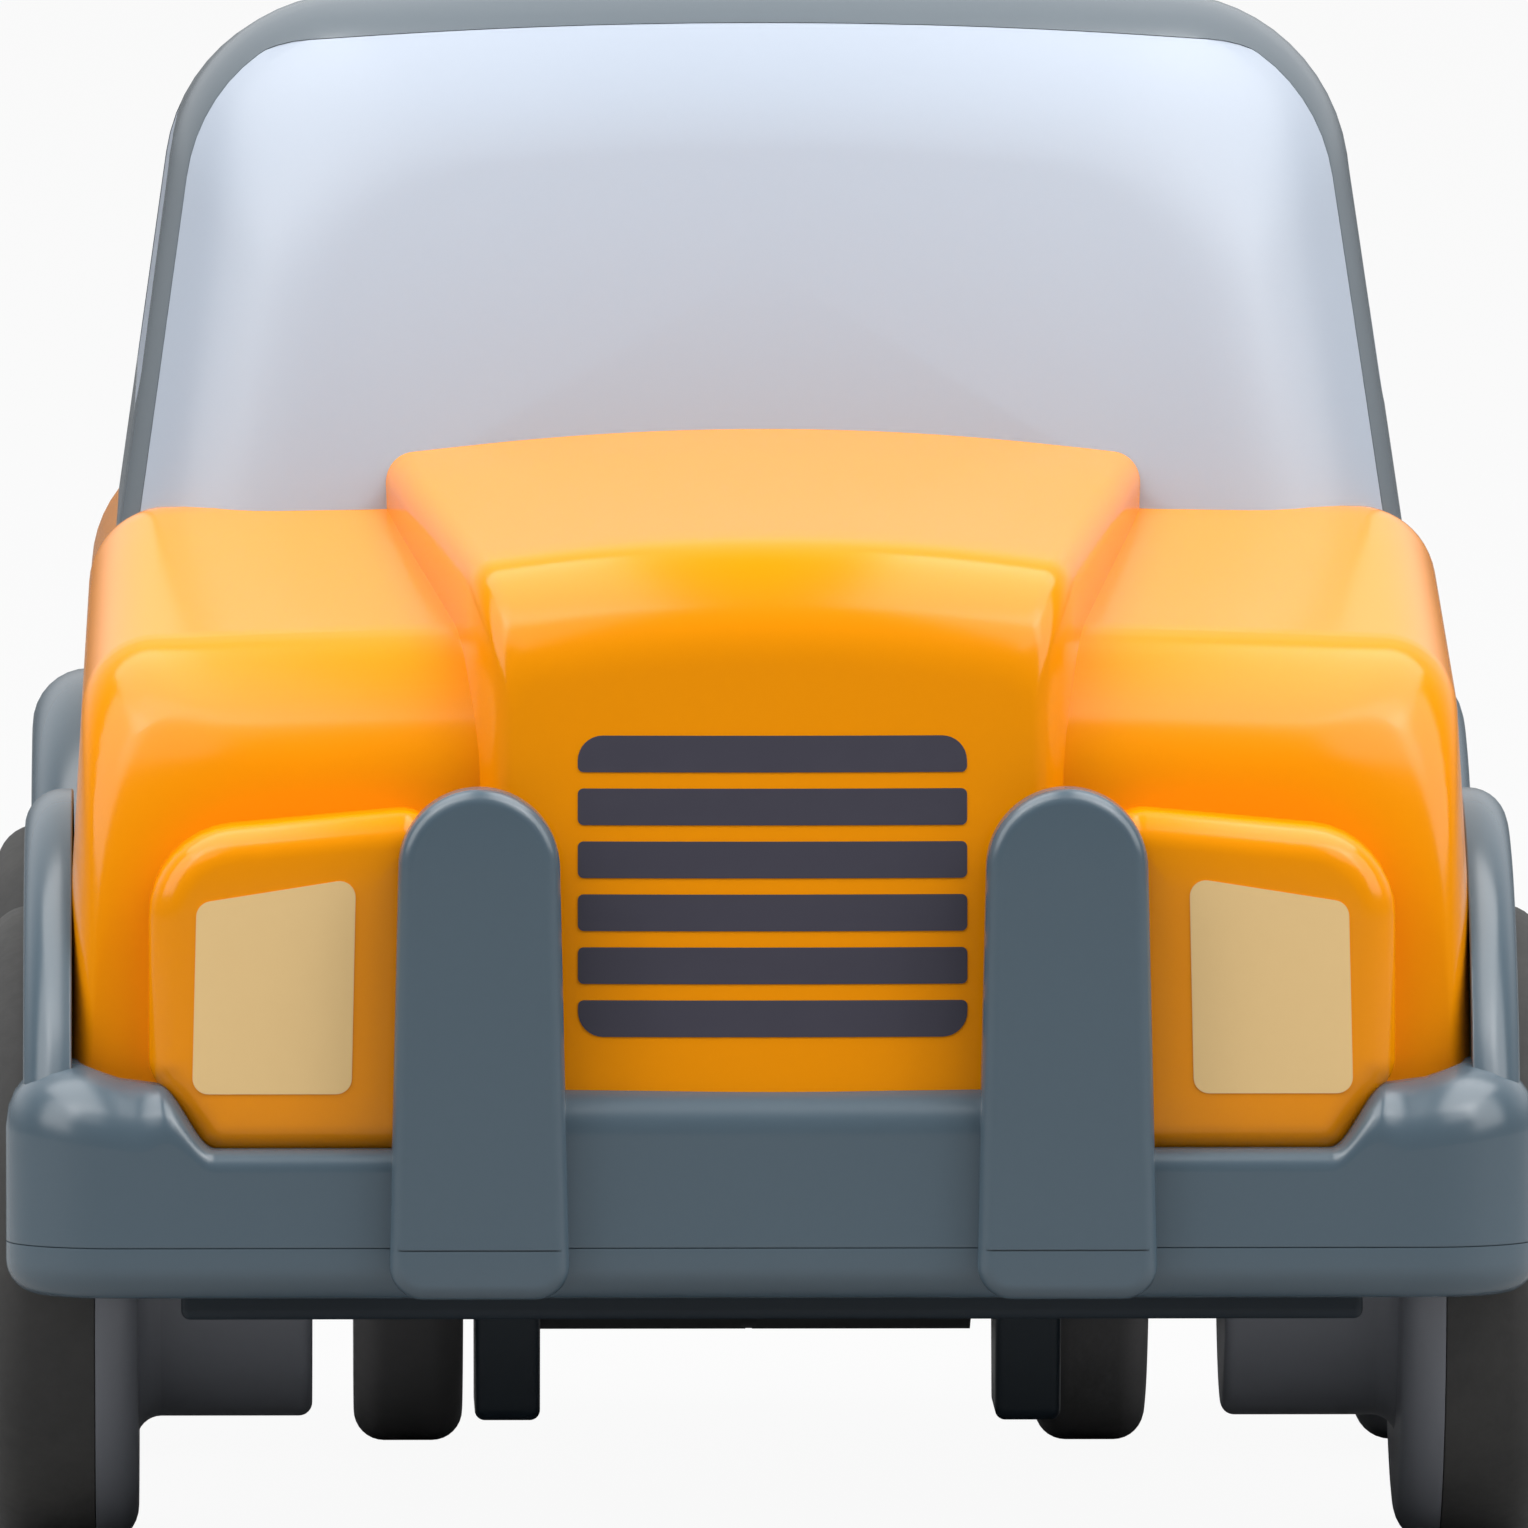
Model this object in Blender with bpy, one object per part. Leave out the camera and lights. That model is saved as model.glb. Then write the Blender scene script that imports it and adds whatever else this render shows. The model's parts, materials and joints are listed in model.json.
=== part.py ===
"""A chunky push-along toy off-road car with an inertia drive on its rear axle.

The car stands on z = 0 and faces -Y. Lengths below are in millimetres and are turned into metres
where a mesh is made. Names ending in _X, _Y or _Z are places, the other names are sizes. Cutters
reach as far as BEYOND, which is outside the car.
"""

import math

import bmesh
import bpy
import numpy as np

MM = 0.001
GAP = 0.3
BEYOND = 40.0

# Axles and wheels
AXLE_Z = 14.2
FRONT_AXLE_Y = -29.0
REAR_AXLE_Y = 27.0
AXLE_RADIUS = 1.25
AXLE_HALF = 31.4
TYRE_RADIUS = 14.2
TYRE_INNER_X = 30.0
TYRE_SEAT_RADIUS = 11.6
WHEEL_INNER_X = 27.9
WHEEL_FACE_X = 34.1
DRUM_INNER_X = 20.2
DRUM_RADIUS = 8.5
FLANGE_RADII = (11.4, 13.0)
DISH_X = 31.8
DISH_RADII = (10.2, 8.6)
TYRE_SHOULDERS = ((32.4, 0.0), (33.8, 0.6), (34.6, 1.8))
CAP_LEVELS = ((32.1, 6.3), (33.2, 6.3), (33.9, 5.1), (34.2, 0.6))
ROLLER_INNER_X = 13.2
ROLLER_OUTER_X = 18.2
ROLLER_CORE_RADIUS = 11.4
ROLLER_EDGE = 1.3
WHEEL_SIDES = 24

# Orange body
BODY_FRONT_Y = -46.0
BODY_REAR_Y = 47.5
BODY_BOTTOM_Z = 15.0
BODY_HALF = 31.7
BODY_LEAN = math.radians(3.3)
BODY_SHOULDER = 3.4
REAR_SHOULDER = 6.0
NOSE_SHOULDER = 5.0
BODY_CROWN = 0.7
BODY_TOP_Z = 46.2
BONNET_FRONT_Z = 40.6
COWL_Y = -18.0
HULL_STATIONS_Y = (-30.0, -18.0, 0.0, 30.0)
NOSE_RADIUS = 5.0
NOSE_DROP = 5.5
NOSE_RAKE = math.tan(math.radians(4.0))
WALL = 2.0
DECK_UNDER_Z = 41.2
BONNET_UNDER_Z = 38.0
DECK_HALF = 22.0
DECK_FRONT_Y = -12.0
DECK_REAR_Y = 38.0
DECK_CORNER = 4.0

# Raised bonnet and headlight blocks
DOME_FRONT_Y = -48.0
DOME_REAR_Y = -12.0
DOME_BOTTOM_Z = 21.9
DOME_FRONT_HALF = 12.8
DOME_HALF_GROWTH = 0.14
DOME_FRONT_TOP_Z = 44.7
DOME_SLOPE = 0.152
DOME_EDGE = 1.4
LAMP_FRONT_Y = -48.3
LAMP_EDGE = 0.9
LAMP_CORNERS = ((14.6, 19.0), (24.9, 19.0), (27.4, 22.6), (27.4, 32.8), (14.6, 34.0))
LAMP_ROUNDS = (1.0, 1.2, 1.2, 4.0, 1.0)
BOSS_RADIUS = 2.7
BOSS_SINK = 0.8
PILOT_DEPTH = 12.0

# Grey roof with its glazing
CAB_BOTTOM_Z = 44.0
CAB_TOP_Z = 68.7
CAB_FOOT_Z = 42.8
CAB_HOLLOW_Z = 38.0
ROOF_FALL = 1.9
CAB_HALF = 28.75
CAB_LEAN = math.radians(8.0)
CAB_SHOULDER = 8.5
CAB_CROWN = 1.0
CAB_FRONT_Y = -21.0
CAB_REAR_Y = 45.0
CAB_EDGE = 3.0
SCREEN_RAKE = math.tan(math.radians(24.0))
BACK_RAKE = math.tan(math.radians(7.0))
SCREEN_BULGE = 2.0
BACK_BULGE = 1.2
SIDE_WINDOW = ((-11.6, 49.4), (38.6, 49.4), (37.0, 61.4), (-5.6, 61.4))
SIDE_WINDOW_ROUNDS = (1.5, 2.0, 3.0, 3.0)
BACK_WINDOW_LOW_Z = 49.0
BACK_WINDOW_SHARE = 0.86
SCREEN_RIM_SIDE = 0.7
SCREEN_RIM_TOP = 2.6
ROOF_WALL = 1.6
GLASS_WALL = 1.2
SCREEN_FOOT_Z = 41.0
PLUG_OUT = 8.0
PLUG_IN = 3.6

# Slate fender frame and chassis base
FRAME_HALF = 33.4
FRAME_FRONT_Y = -49.7
FRAME_REAR_Y = 51.0
FRAME_CORNER = 6.0
FRAME_INNER_HALF = 32.0
FRAME_BOTTOM_Z = 14.7
BUMPER_TOP_Z = 21.6
HORN_TOP_Z = 22.3
HORN_EDGE = 0.8
HORN_INNER_X = 17.0
SILL_TOP_Z = 19.0
SILL_FRONT_Y = -44.0
SILL_REAR_Y = 44.0
ARCH_RADIUS = 15.0
LINER_RADIUS = 16.0
FRONT_FLARE_RADIUS = 19.5
REAR_FLARE_RADIUS = 21.4
FLARE_EDGE = 1.2
LINER_X = 26.2
LINER_WALL = 1.0
DRUM_HOLE_RADIUS = 9.3
LAMP_NOTCH = ((14.0, 18.7), (25.1, 18.7), (27.9, 22.6), (27.9, 30.0), (14.0, 30.0))
POST_FRONT_Y = -51.0
POST_BACK_Y = -48.6
POST_X = 12.9
POST_BOTTOM_HALF = 3.95
POST_TOP_HALF = 3.55
POST_TOP_Z = 34.8
POST_EDGE = 0.6
POST_FOOT = ((9.0, 12.5), (16.9, 12.5), (16.8, 14.4), (9.1, 14.4))
POST_FOOT_ROUNDS = (0.8, 0.8, 0.1, 0.1)
BASE_BOTTOM_Z = 12.4
BASE_TOP_Z = 14.4
BASE_EDGE = 1.0
BRACKET_INNER_X = 10.1
BRACKET_OUTER_X = 13.0
BRACKET_BOTTOM_Z = 5.75
BRACKET_TOP_Z = 17.6
BRACKET_LOW_HALF = 4.2
BRACKET_HIGH_HALF = 5.6
RIB_HALF = 26.0
RIB_Y = (-46.5, -43.0)
RIB_BOTTOM_Z = 11.3
WEB_INNER_X = 18.6
WEB_OUTER_X = 19.8
WEB_TOP_Z = 21.0
WEB_LOW_HALF = 18.0
WEB_TOP_HALF = 12.0
DRUM_WELL_X = (19.4, 27.0)
DRUM_WELL_HALF = 9.6
ROLLER_WELL_X = (10.8, 19.4)
ROLLER_WELL_HALF = 15.2
MOTOR_WELL_HALF = 11.0
MOTOR_WELL_Y = (5.0, 36.4)
AXLE_SLOT_HALF = 2.0

# Inertia drive
MODULE = 0.6
PRESSURE_ANGLE = math.radians(25.0)
ADDENDUM = 0.85
DEDENDUM = 1.2
BACKLASH = 0.14
WHEEL_TEETH = 20
PINION_TEETH = 10
DRIVE_GEAR_X = (2.0, 5.0)
IDLER_WHEEL_X = (-3.0, 0.0)
IDLER_PINION_X = (-0.5, 5.4)
FLYWHEEL_PINION_X = (-3.3, 0.4)
FLYWHEEL_X = (-7.2, -3.6)
PIN_INNER_X = -3.3
SHAFT_END_GAP = 0.4
GEAR_PITCH = MODULE * (WHEEL_TEETH + PINION_TEETH) / 2
TRAIN_ANGLE = math.radians(145.0)
SHAFT_RADIUS = 1.0
FLYWHEEL_RADIUS = 10.0
FLYWHEEL_EDGE = 0.5
CASE_HALF = 10.2
CASE_WALL = 1.4
CASE_RADII = (9.0, 8.5, 11.9)
EAR_Z = 14.7
EAR_THICKNESS = 1.8
EAR_X = (2.4, 9.6)
FRONT_EAR_Y = (-2.0, 8.0)
REAR_EAR_Y = (33.5, 43.2)

# Screws
SCREW_HEAD_RADIUS = 2.0
SCREW_HEAD = 0.9
SCREW_RADIUS = 0.9
SCREW_SIDES = 8
BODY_SCREW_LENGTH = 11.0
MOTOR_SCREW_LENGTH = 4.2
BODY_SCREWS = ((-15.0, -40.0), (15.0, -40.0), (-23.0, 40.5), (23.0, 40.5))
MOTOR_SCREWS = ((-5.5, 1.0), (5.5, 1.0), (-5.5, 40.2), (5.5, 40.2))

TRAIN_STEP_Y = GEAR_PITCH * math.cos(TRAIN_ANGLE)
TRAIN_STEP_Z = GEAR_PITCH * math.sin(TRAIN_ANGLE)
SHAFTS = [(REAR_AXLE_Y + i * TRAIN_STEP_Y, AXLE_Z + i * TRAIN_STEP_Z) for i in range(3)]
IDLER_YZ = SHAFTS[1]
FLYWHEEL_YZ = SHAFTS[2]

COLOURS = {
    "orange": ((0.82, 0.27, 0.002), 0.25, 0.0),
    "roof_grey": ((0.2, 0.24, 0.28), 0.22, 0.0),
    "glazing": ((0.43, 0.47, 0.55), 0.15, 0.0),
    "slate": ((0.074, 0.112, 0.143), 0.35, 0.0),
    "wheel": ((0.095, 0.1, 0.112), 0.45, 0.0),
    "rubber": ((0.036, 0.035, 0.034), 0.85, 0.0),
    "black": ((0.02, 0.02, 0.021), 0.5, 0.0),
    "gear": ((0.72, 0.71, 0.68), 0.45, 0.0),
    "steel": ((0.62, 0.63, 0.64), 0.3, 1.0),
}


def clear_scene():
    for obj in list(bpy.data.objects):
        bpy.data.objects.remove(obj, do_unlink=True)


def material(name):
    """The Principled material of one finish, made when it is first asked for."""
    found = bpy.data.materials.get(name)
    if found:
        return found
    colour, roughness, metallic = COLOURS[name]
    made = bpy.data.materials.new(name)
    made.use_nodes = True
    shader = made.node_tree.nodes["Principled BSDF"]
    shader.inputs["Base Color"].default_value = (*colour, 1.0)
    shader.inputs["Roughness"].default_value = roughness
    shader.inputs["Metallic"].default_value = metallic
    return made


def solid(name, rings, finish=None, origin=(0.0, 0.0, 0.0), closed_path=False):
    """A closed body from rings of points: neighbours are bridged, and the two ends are capped.

    With closed_path the last ring is bridged to the first, as on a ring that is turned full circle.
    A prism keeps its flat faces whole, and other forms are cut into triangles, because their faces
    can be warped. Without a finish the body is a cutter.
    """
    points = (np.asarray(rings, float) - np.asarray(origin)) * MM
    count, around = points.shape[:2]
    bm = bmesh.new()
    verts = [[bm.verts.new(p) for p in ring] for ring in points]
    for i in range(count if closed_path else count - 1):
        first, second = verts[i], verts[(i + 1) % count]
        for j in range(around):
            k = (j + 1) % around
            bm.faces.new((first[j], second[j], second[k], first[k]))
    if not closed_path:
        bm.faces.new(verts[0])
        bm.faces.new(verts[-1])
    if count > 2:
        bmesh.ops.triangulate(bm, faces=bm.faces)
    bmesh.ops.recalc_face_normals(bm, faces=bm.faces)
    mesh = bpy.data.meshes.new(name)
    bm.to_mesh(mesh)
    bm.free()
    mesh.shade_smooth()
    mesh.set_sharp_from_angle(angle=math.radians(35.0))
    obj = bpy.data.objects.new(name, mesh)
    obj.location = np.asarray(origin) * MM
    bpy.context.collection.objects.link(obj)
    if finish:
        mesh.materials.append(material(finish))
    else:
        obj.hide_render = True
        obj.display_type = "WIRE"
    return obj


def boolean(target, operation, *others):
    for other in others:
        other.hide_render = True
        other.display_type = "WIRE"
        modifier = target.modifiers.new(other.name, "BOOLEAN")
        modifier.operation = operation
        modifier.solver = "EXACT"
        modifier.object = other
    return target


def cut(target, *others):
    return boolean(target, "DIFFERENCE", *others)


def join(target, *others):
    return boolean(target, "UNION", *others)


def swept(points, axis, place):
    """Plane points set square to an axis: (x, y) for Z, (x, z) for Y and (y, z) for X."""
    points = np.asarray(points, float)
    return np.insert(points, "XYZ".index(axis), place, axis=1)


def prism(name, outline, axis, low, high, finish=None, origin=(0.0, 0.0, 0.0)):
    return solid(name, [swept(outline, axis, low), swept(outline, axis, high)], finish, origin)


def box(name, low, high):
    (x0, y0, z0), (x1, y1, z1) = low, high
    return prism(name, [(x0, y0), (x1, y0), (x1, y1), (x0, y1)], "Z", z0, z1)


def circle(centre, radius, sides):
    """A polygon with a flat side down, whose flats touch the circle."""
    angle = (np.arange(sides) + 0.5) * 2 * math.pi / sides - math.pi / 2
    out = radius / math.cos(math.pi / sides)
    return np.stack([centre[0] + out * np.cos(angle), centre[1] + out * np.sin(angle)], axis=1)


def turned(name, profile, centre, finish=None, sides=WHEEL_SIDES):
    """A closed profile of (x, radius) points turned about the X axis through centre (y, z)."""
    ring = circle((0.0, 0.0), 1.0, sides)
    rings = [[(x, centre[0] + r * a, centre[1] + r * b) for x, r in profile] for a, b in ring]
    return solid(name, rings, finish, (0.0, *centre), closed_path=True)


def rod(name, x0, x1, radius, centre, finish=None, sides=16):
    return prism(name, circle(centre, radius, sides), "X", x0, x1, finish, (0.0, *centre))


def rounded(corners, radii, steps=4):
    """A convex outline whose corners are arcs of the given radii."""
    corners = np.asarray(corners, float)
    outline = []
    for i, corner in enumerate(corners):
        back = corners[i - 1] - corner
        ahead = corners[(i + 1) % len(corners)] - corner
        back /= np.linalg.norm(back)
        ahead /= np.linalg.norm(ahead)
        half = math.acos(np.clip(back @ ahead, -1, 1)) / 2
        middle = (back + ahead) / np.linalg.norm(back + ahead)
        centre = corner + middle * radii[i] / math.sin(half)
        start = corner + back * radii[i] / math.tan(half) - centre
        end = corner + ahead * radii[i] / math.tan(half) - centre
        sweep = math.pi - 2 * half
        for t in np.linspace(0.0, 1.0, steps + 1):
            blend = start * math.sin((1 - t) * sweep) + end * math.sin(t * sweep)
            outline.append(centre + blend / math.sin(sweep))
    return np.array(outline)


def plan_outline(half, front, rear, corner, steps=4):
    corners = [(half, front), (half, rear), (-half, rear), (-half, front)]
    return rounded(corners, [corner] * 4, steps)


def inset(outline, distance):
    """A counter-clockwise outline moved inwards along its corners' mean normals."""
    outline = np.asarray(outline, float)
    edge = np.roll(outline, -1, axis=0) - outline
    edge /= np.linalg.norm(edge, axis=1)[:, None]
    inward = np.stack([-edge[:, 1], edge[:, 0]], axis=1)
    mean = inward + np.roll(inward, 1, axis=0)
    scale = 2 / (mean**2).sum(axis=1)
    return outline + mean * (scale * distance)[:, None]


def section(half_low, lean, z_low, z_high, shoulder, crown, arcs=4, tops=2):
    """A closed (x, z) outline: flat below, sides that lean in, round shoulders and a crowned top."""
    end = math.pi / 2 - math.atan(2 * crown / (half_low - shoulder))
    centre_z = z_high - crown - shoulder * math.sin(end)
    centre_x = half_low + ((z_low - centre_z) * math.sin(lean) - shoulder) / math.cos(lean)
    angle = np.linspace(lean, end, arcs + 1)
    x_end = centre_x + shoulder * math.cos(end)
    top_x = np.linspace(x_end, 0.0, tops + 1)[1:]
    x = np.concatenate([[half_low], centre_x + shoulder * np.cos(angle), top_x])
    z = np.concatenate([[z_low], centre_z + shoulder * np.sin(angle),
                        z_high - crown * (top_x / x_end) ** 2])
    x = np.concatenate([x, -x[-2::-1]])
    z = np.concatenate([z, z[-2::-1]])
    return x, z


def round_in(radius, steps):
    """Offsets of a quarter round, from the end face outwards: (along the axis, inwards)."""
    angle = np.linspace(0.0, math.pi / 2, steps + 1)
    return list(zip(radius * (1 - np.cos(angle)), 1 - np.sin(angle)))


def hull_rings(wall, z_low, tops_y, tops_z):
    """The body's outside (wall 0) or its hollow: sections from the nose to the tail."""
    corner = NOSE_RADIUS - wall
    ends = round_in(corner, 3)
    stations = [(BODY_FRONT_Y + wall + along, share) for along, share in ends]
    stations += [(y, 0.0) for y in HULL_STATIONS_Y]
    stations += [(BODY_REAR_Y - wall - along, share) for along, share in reversed(ends)]
    rings = []
    for y, share in stations:
        top = np.interp(y, tops_y, tops_z) - NOSE_DROP * share
        shoulder = np.interp(y, (COWL_Y, 0.0), (BODY_SHOULDER, REAR_SHOULDER)) + NOSE_SHOULDER * share
        x, z = section(BODY_HALF - wall - corner * share, BODY_LEAN, z_low, top, shoulder, BODY_CROWN)
        rake = np.interp(y, (BODY_FRONT_Y, COWL_Y, BODY_REAR_Y), (NOSE_RAKE, 0.0, -NOSE_RAKE / 2))
        rings.append(np.stack([x, y + rake * (z - BODY_BOTTOM_Z), z], axis=1))
    return rings


def dome_rings():
    """The raised bonnet with the grille panel as its front: it widens and climbs to the screen."""
    stations = [(DOME_FRONT_Y + along, share) for along, share in round_in(DOME_EDGE, 2)]
    stations += [(DOME_REAR_Y, 0.0)]
    rings = []
    for y, share in stations:
        back = y - DOME_FRONT_Y
        half = DOME_FRONT_HALF + DOME_HALF_GROWTH * back - DOME_EDGE * share
        top = DOME_FRONT_TOP_Z + DOME_SLOPE * (back - DOME_EDGE) - DOME_EDGE * share
        x, z = section(half, 0.0, DOME_BOTTOM_Z, top, DOME_EDGE, BODY_CROWN, arcs=2)
        rake = NOSE_RAKE * (1 - back / (DOME_REAR_Y - DOME_FRONT_Y))
        rings.append(np.stack([x, y + rake * (z - DOME_BOTTOM_Z), z], axis=1))
    return rings


def cab_rings(wall, z_low):
    """The roof's outside (wall 0), or the same form a wall further in, open ended at z_low."""
    edge = max(CAB_EDGE - wall, 0.6)
    low_half = CAB_HALF - wall + (CAB_BOTTOM_Z - z_low) * math.tan(CAB_LEAN)
    middle_z = (CAB_BOTTOM_Z + CAB_TOP_Z) / 2

    def ring(end, along, share, scale=1.0):
        top = CAB_TOP_Z - wall - edge * share - (0.0 if end == "front" else ROOF_FALL)
        x, z = section(low_half - edge * share, CAB_LEAN, z_low, top, CAB_SHOULDER - wall, CAB_CROWN)
        x, z = x * scale, middle_z + (z - middle_z) * scale
        height, across = z - CAB_BOTTOM_Z, (x / CAB_HALF) ** 2
        front = CAB_FRONT_Y + SCREEN_RAKE * height + SCREEN_BULGE * across + wall
        rear = CAB_REAR_Y - BACK_RAKE * height - BACK_BULGE * across - wall
        y = front + along if end == "front" else rear - along
        return np.stack([x, y, z], axis=1)

    ends = round_in(edge, 2)
    rings = [ring("front", 0.0, 1.0, scale) for scale in (0.3, 0.7)]
    rings += [ring("front", along, share) for along, share in ends]
    rings += [ring("rear", along, share) for along, share in reversed(ends)]
    rings += [ring("rear", 0.0, 1.0, scale) for scale in (0.7, 0.3)]
    return rings


def lamp_outline(side):
    outline = rounded(LAMP_CORNERS, LAMP_ROUNDS, 3)
    return outline if side > 0 else outline[::-1] * (-1, 1)


def body_shell():
    tops_y = (BODY_FRONT_Y, COWL_Y, BODY_REAR_Y)
    shell = solid("body_shell", hull_rings(0.0, BODY_BOTTOM_Z, tops_y,
                                           (BONNET_FRONT_Z, BODY_TOP_Z, BODY_TOP_Z)), "orange")
    join(shell, solid("bonnet_form", dome_rings()))
    for side in (-1, 1):
        outline = lamp_outline(side)
        rings = [swept(inset(outline, LAMP_EDGE), "Y", LAMP_FRONT_Y),
                 swept(inset(outline, LAMP_EDGE * 0.3), "Y", LAMP_FRONT_Y + LAMP_EDGE * 0.3),
                 swept(outline, "Y", LAMP_FRONT_Y + LAMP_EDGE),
                 swept(outline, "Y", BODY_FRONT_Y + NOSE_RADIUS)]
        join(shell, solid(f"lamp_form_{side}", rings))
    cut(shell, solid("hollow", hull_rings(WALL, BODY_BOTTOM_Z - WALL, tops_y,
                                          (BONNET_UNDER_Z, DECK_UNDER_Z, DECK_UNDER_Z))))
    for i, (x, y) in enumerate(BODY_SCREWS):
        top = (BONNET_UNDER_Z if y < 0 else DECK_UNDER_Z) + BOSS_SINK
        join(shell, prism(f"boss_{i}", circle((x, y), BOSS_RADIUS, 12), "Z", BODY_BOTTOM_Z, top))
        cut(shell, prism(f"pilot_{i}", circle((x, y), SCREW_RADIUS + GAP, SCREW_SIDES), "Z",
                         BODY_BOTTOM_Z - 1.0, BODY_BOTTOM_Z + PILOT_DEPTH))
    cut(shell, solid("roof_seat", cab_rings(-GAP, CAB_FOOT_Z - GAP)))
    deck = plan_outline(DECK_HALF, DECK_FRONT_Y, DECK_REAR_Y, DECK_CORNER, 3)
    cut(shell, prism("deck_opening", deck, "Z", DECK_UNDER_Z - WALL, BODY_TOP_Z + WALL))
    for side in (-1, 1):
        for axle_y in (FRONT_AXLE_Y, REAR_AXLE_Y):
            cut(shell, rod(f"arch_{side}_{axle_y:.0f}", side * (LINER_X - LINER_WALL), side * BEYOND,
                           LINER_RADIUS + GAP, (axle_y, AXLE_Z), sides=28))
    return shell


def window_plugs(shrink):
    """What is cut from the roof for its windows, or, shrunk by a gap, what fills them."""
    def end_plug(name, front):
        z_low = SCREEN_FOOT_Z if front else BACK_WINDOW_LOW_Z + shrink
        half = CAB_HALF - SCREEN_RIM_SIDE - shrink + (CAB_BOTTOM_Z - z_low) * math.tan(CAB_LEAN)
        top = CAB_TOP_Z - SCREEN_RIM_TOP - shrink - (0.0 if front else ROOF_FALL)
        x, z = section(half, CAB_LEAN, z_low, top, CAB_SHOULDER - SCREEN_RIM_SIDE, CAB_CROWN)
        if not front:
            x = x * BACK_WINDOW_SHARE
        height, across = z - CAB_BOTTOM_Z, (x / CAB_HALF) ** 2
        screen = CAB_FRONT_Y + SCREEN_RAKE * height + SCREEN_BULGE * across
        back = CAB_REAR_Y - BACK_RAKE * height - BACK_BULGE * across
        face = screen if front else back
        steps = (-PLUG_OUT, 0.0, PLUG_IN) if front else (PLUG_OUT, 0.0, -PLUG_IN)
        return solid(name, [np.stack([x, face + step, z], axis=1) for step in steps])

    side_outline = inset(rounded(SIDE_WINDOW, SIDE_WINDOW_ROUNDS, 2), shrink)
    tag = "fill" if shrink else "cut"
    return [end_plug(f"screen_{tag}", True), end_plug(f"back_{tag}", False),
            prism(f"side_{tag}", side_outline, "X", -BEYOND, BEYOND)]


def canopy_frame():
    roof = solid("canopy_frame", cab_rings(0.0, CAB_FOOT_Z), "roof_grey")
    cut(roof, solid("roof_hollow", cab_rings(ROOF_WALL, CAB_HOLLOW_Z)))
    cut(roof, *window_plugs(0.0))
    return roof


def window_insert():
    outer = ROOF_WALL + GAP
    insert = solid("window_insert", cab_rings(outer, CAB_FOOT_Z), "glazing")
    for plug in window_plugs(GAP):
        panel = boolean(solid(f"panel_{plug.name}", cab_rings(0.0, CAB_FOOT_Z)), "INTERSECT", plug)
        join(insert, panel)
    cut(insert, solid("cabin_hollow", cab_rings(outer + GLASS_WALL, CAB_HOLLOW_Z)))
    return insert


def post_outline(side, z_low):
    top = POST_TOP_Z - POST_TOP_HALF
    angle = np.linspace(0.0, math.pi, 7)
    x = POST_X + np.concatenate([[POST_BOTTOM_HALF], POST_TOP_HALF * np.cos(angle), [-POST_BOTTOM_HALF]])
    z = np.concatenate([[z_low], top + POST_TOP_HALF * np.sin(angle), [z_low]])
    outline = np.stack([x, z], axis=1)
    return outline if side > 0 else outline[::-1] * (-1, 1)


def fender_frame():
    outer = plan_outline(FRAME_HALF, FRAME_FRONT_Y, FRAME_REAR_Y, FRAME_CORNER)
    frame = solid("fender_frame", [swept(outer, "Z", FRAME_BOTTOM_Z),
                                   swept(outer, "Z", HORN_TOP_Z - HORN_EDGE),
                                   swept(inset(outer, HORN_EDGE), "Z", HORN_TOP_Z)], "slate")
    inner = plan_outline(FRAME_INNER_HALF, BODY_FRONT_Y - GAP, BODY_REAR_Y + GAP, NOSE_RADIUS + GAP)
    cut(frame, prism("frame_bore", inner, "Z", 0.0, BEYOND))
    cut(frame, box("bumper_dip", (-HORN_INNER_X, FRAME_FRONT_Y - 5.0, BUMPER_TOP_Z),
                   (HORN_INNER_X, SILL_FRONT_Y, BEYOND)))
    cut(frame, box("sill_dip", (-BEYOND, SILL_FRONT_Y, SILL_TOP_Z), (BEYOND, SILL_REAR_Y, BEYOND)))
    for side in (-1, 1):
        notch = np.asarray(LAMP_NOTCH) * (side, 1)
        cut(frame, prism(f"lamp_notch_{side}", notch, "Y", FRAME_FRONT_Y - 5.0, BODY_FRONT_Y + NOSE_RADIUS))
        rings = [swept(inset(post_outline(side, FRAME_BOTTOM_Z), POST_EDGE), "Y", POST_FRONT_Y),
                 swept(post_outline(side, FRAME_BOTTOM_Z), "Y", POST_FRONT_Y + POST_EDGE),
                 swept(post_outline(side, FRAME_BOTTOM_Z), "Y", POST_BACK_Y)]
        join(frame, solid(f"post_{side}", rings))
        for axle_y, radius in ((FRONT_AXLE_Y, FRONT_FLARE_RADIUS), (REAR_AXLE_Y, REAR_FLARE_RADIUS)):
            profile = [(LINER_X, DRUM_HOLE_RADIUS), (LINER_X + LINER_WALL, DRUM_HOLE_RADIUS),
                       (LINER_X + LINER_WALL, ARCH_RADIUS), (FRAME_HALF, ARCH_RADIUS),
                       (FRAME_HALF, radius - FLARE_EDGE), (FRAME_HALF - FLARE_EDGE / 2, radius),
                       (FRAME_INNER_HALF, radius),
                       (FRAME_INNER_HALF, LINER_RADIUS), (LINER_X, LINER_RADIUS)]
            profile = [(side * x, r) for x, r in profile]
            tag = f"{side}_{axle_y:.0f}"
            flare = turned(f"flare_{tag}", profile, (axle_y, AXLE_Z))
            cut(flare, box(f"flare_foot_{tag}", (-BEYOND, axle_y - BEYOND, -BEYOND),
                           (BEYOND, axle_y + BEYOND, FRAME_BOTTOM_Z)))
            cut(frame, rod(f"wheel_room_{tag}", side * LINER_X, side * BEYOND,
                           (ARCH_RADIUS + LINER_RADIUS) / 2, (axle_y, AXLE_Z), sides=WHEEL_SIDES))
            join(frame, flare)
    return frame


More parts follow.
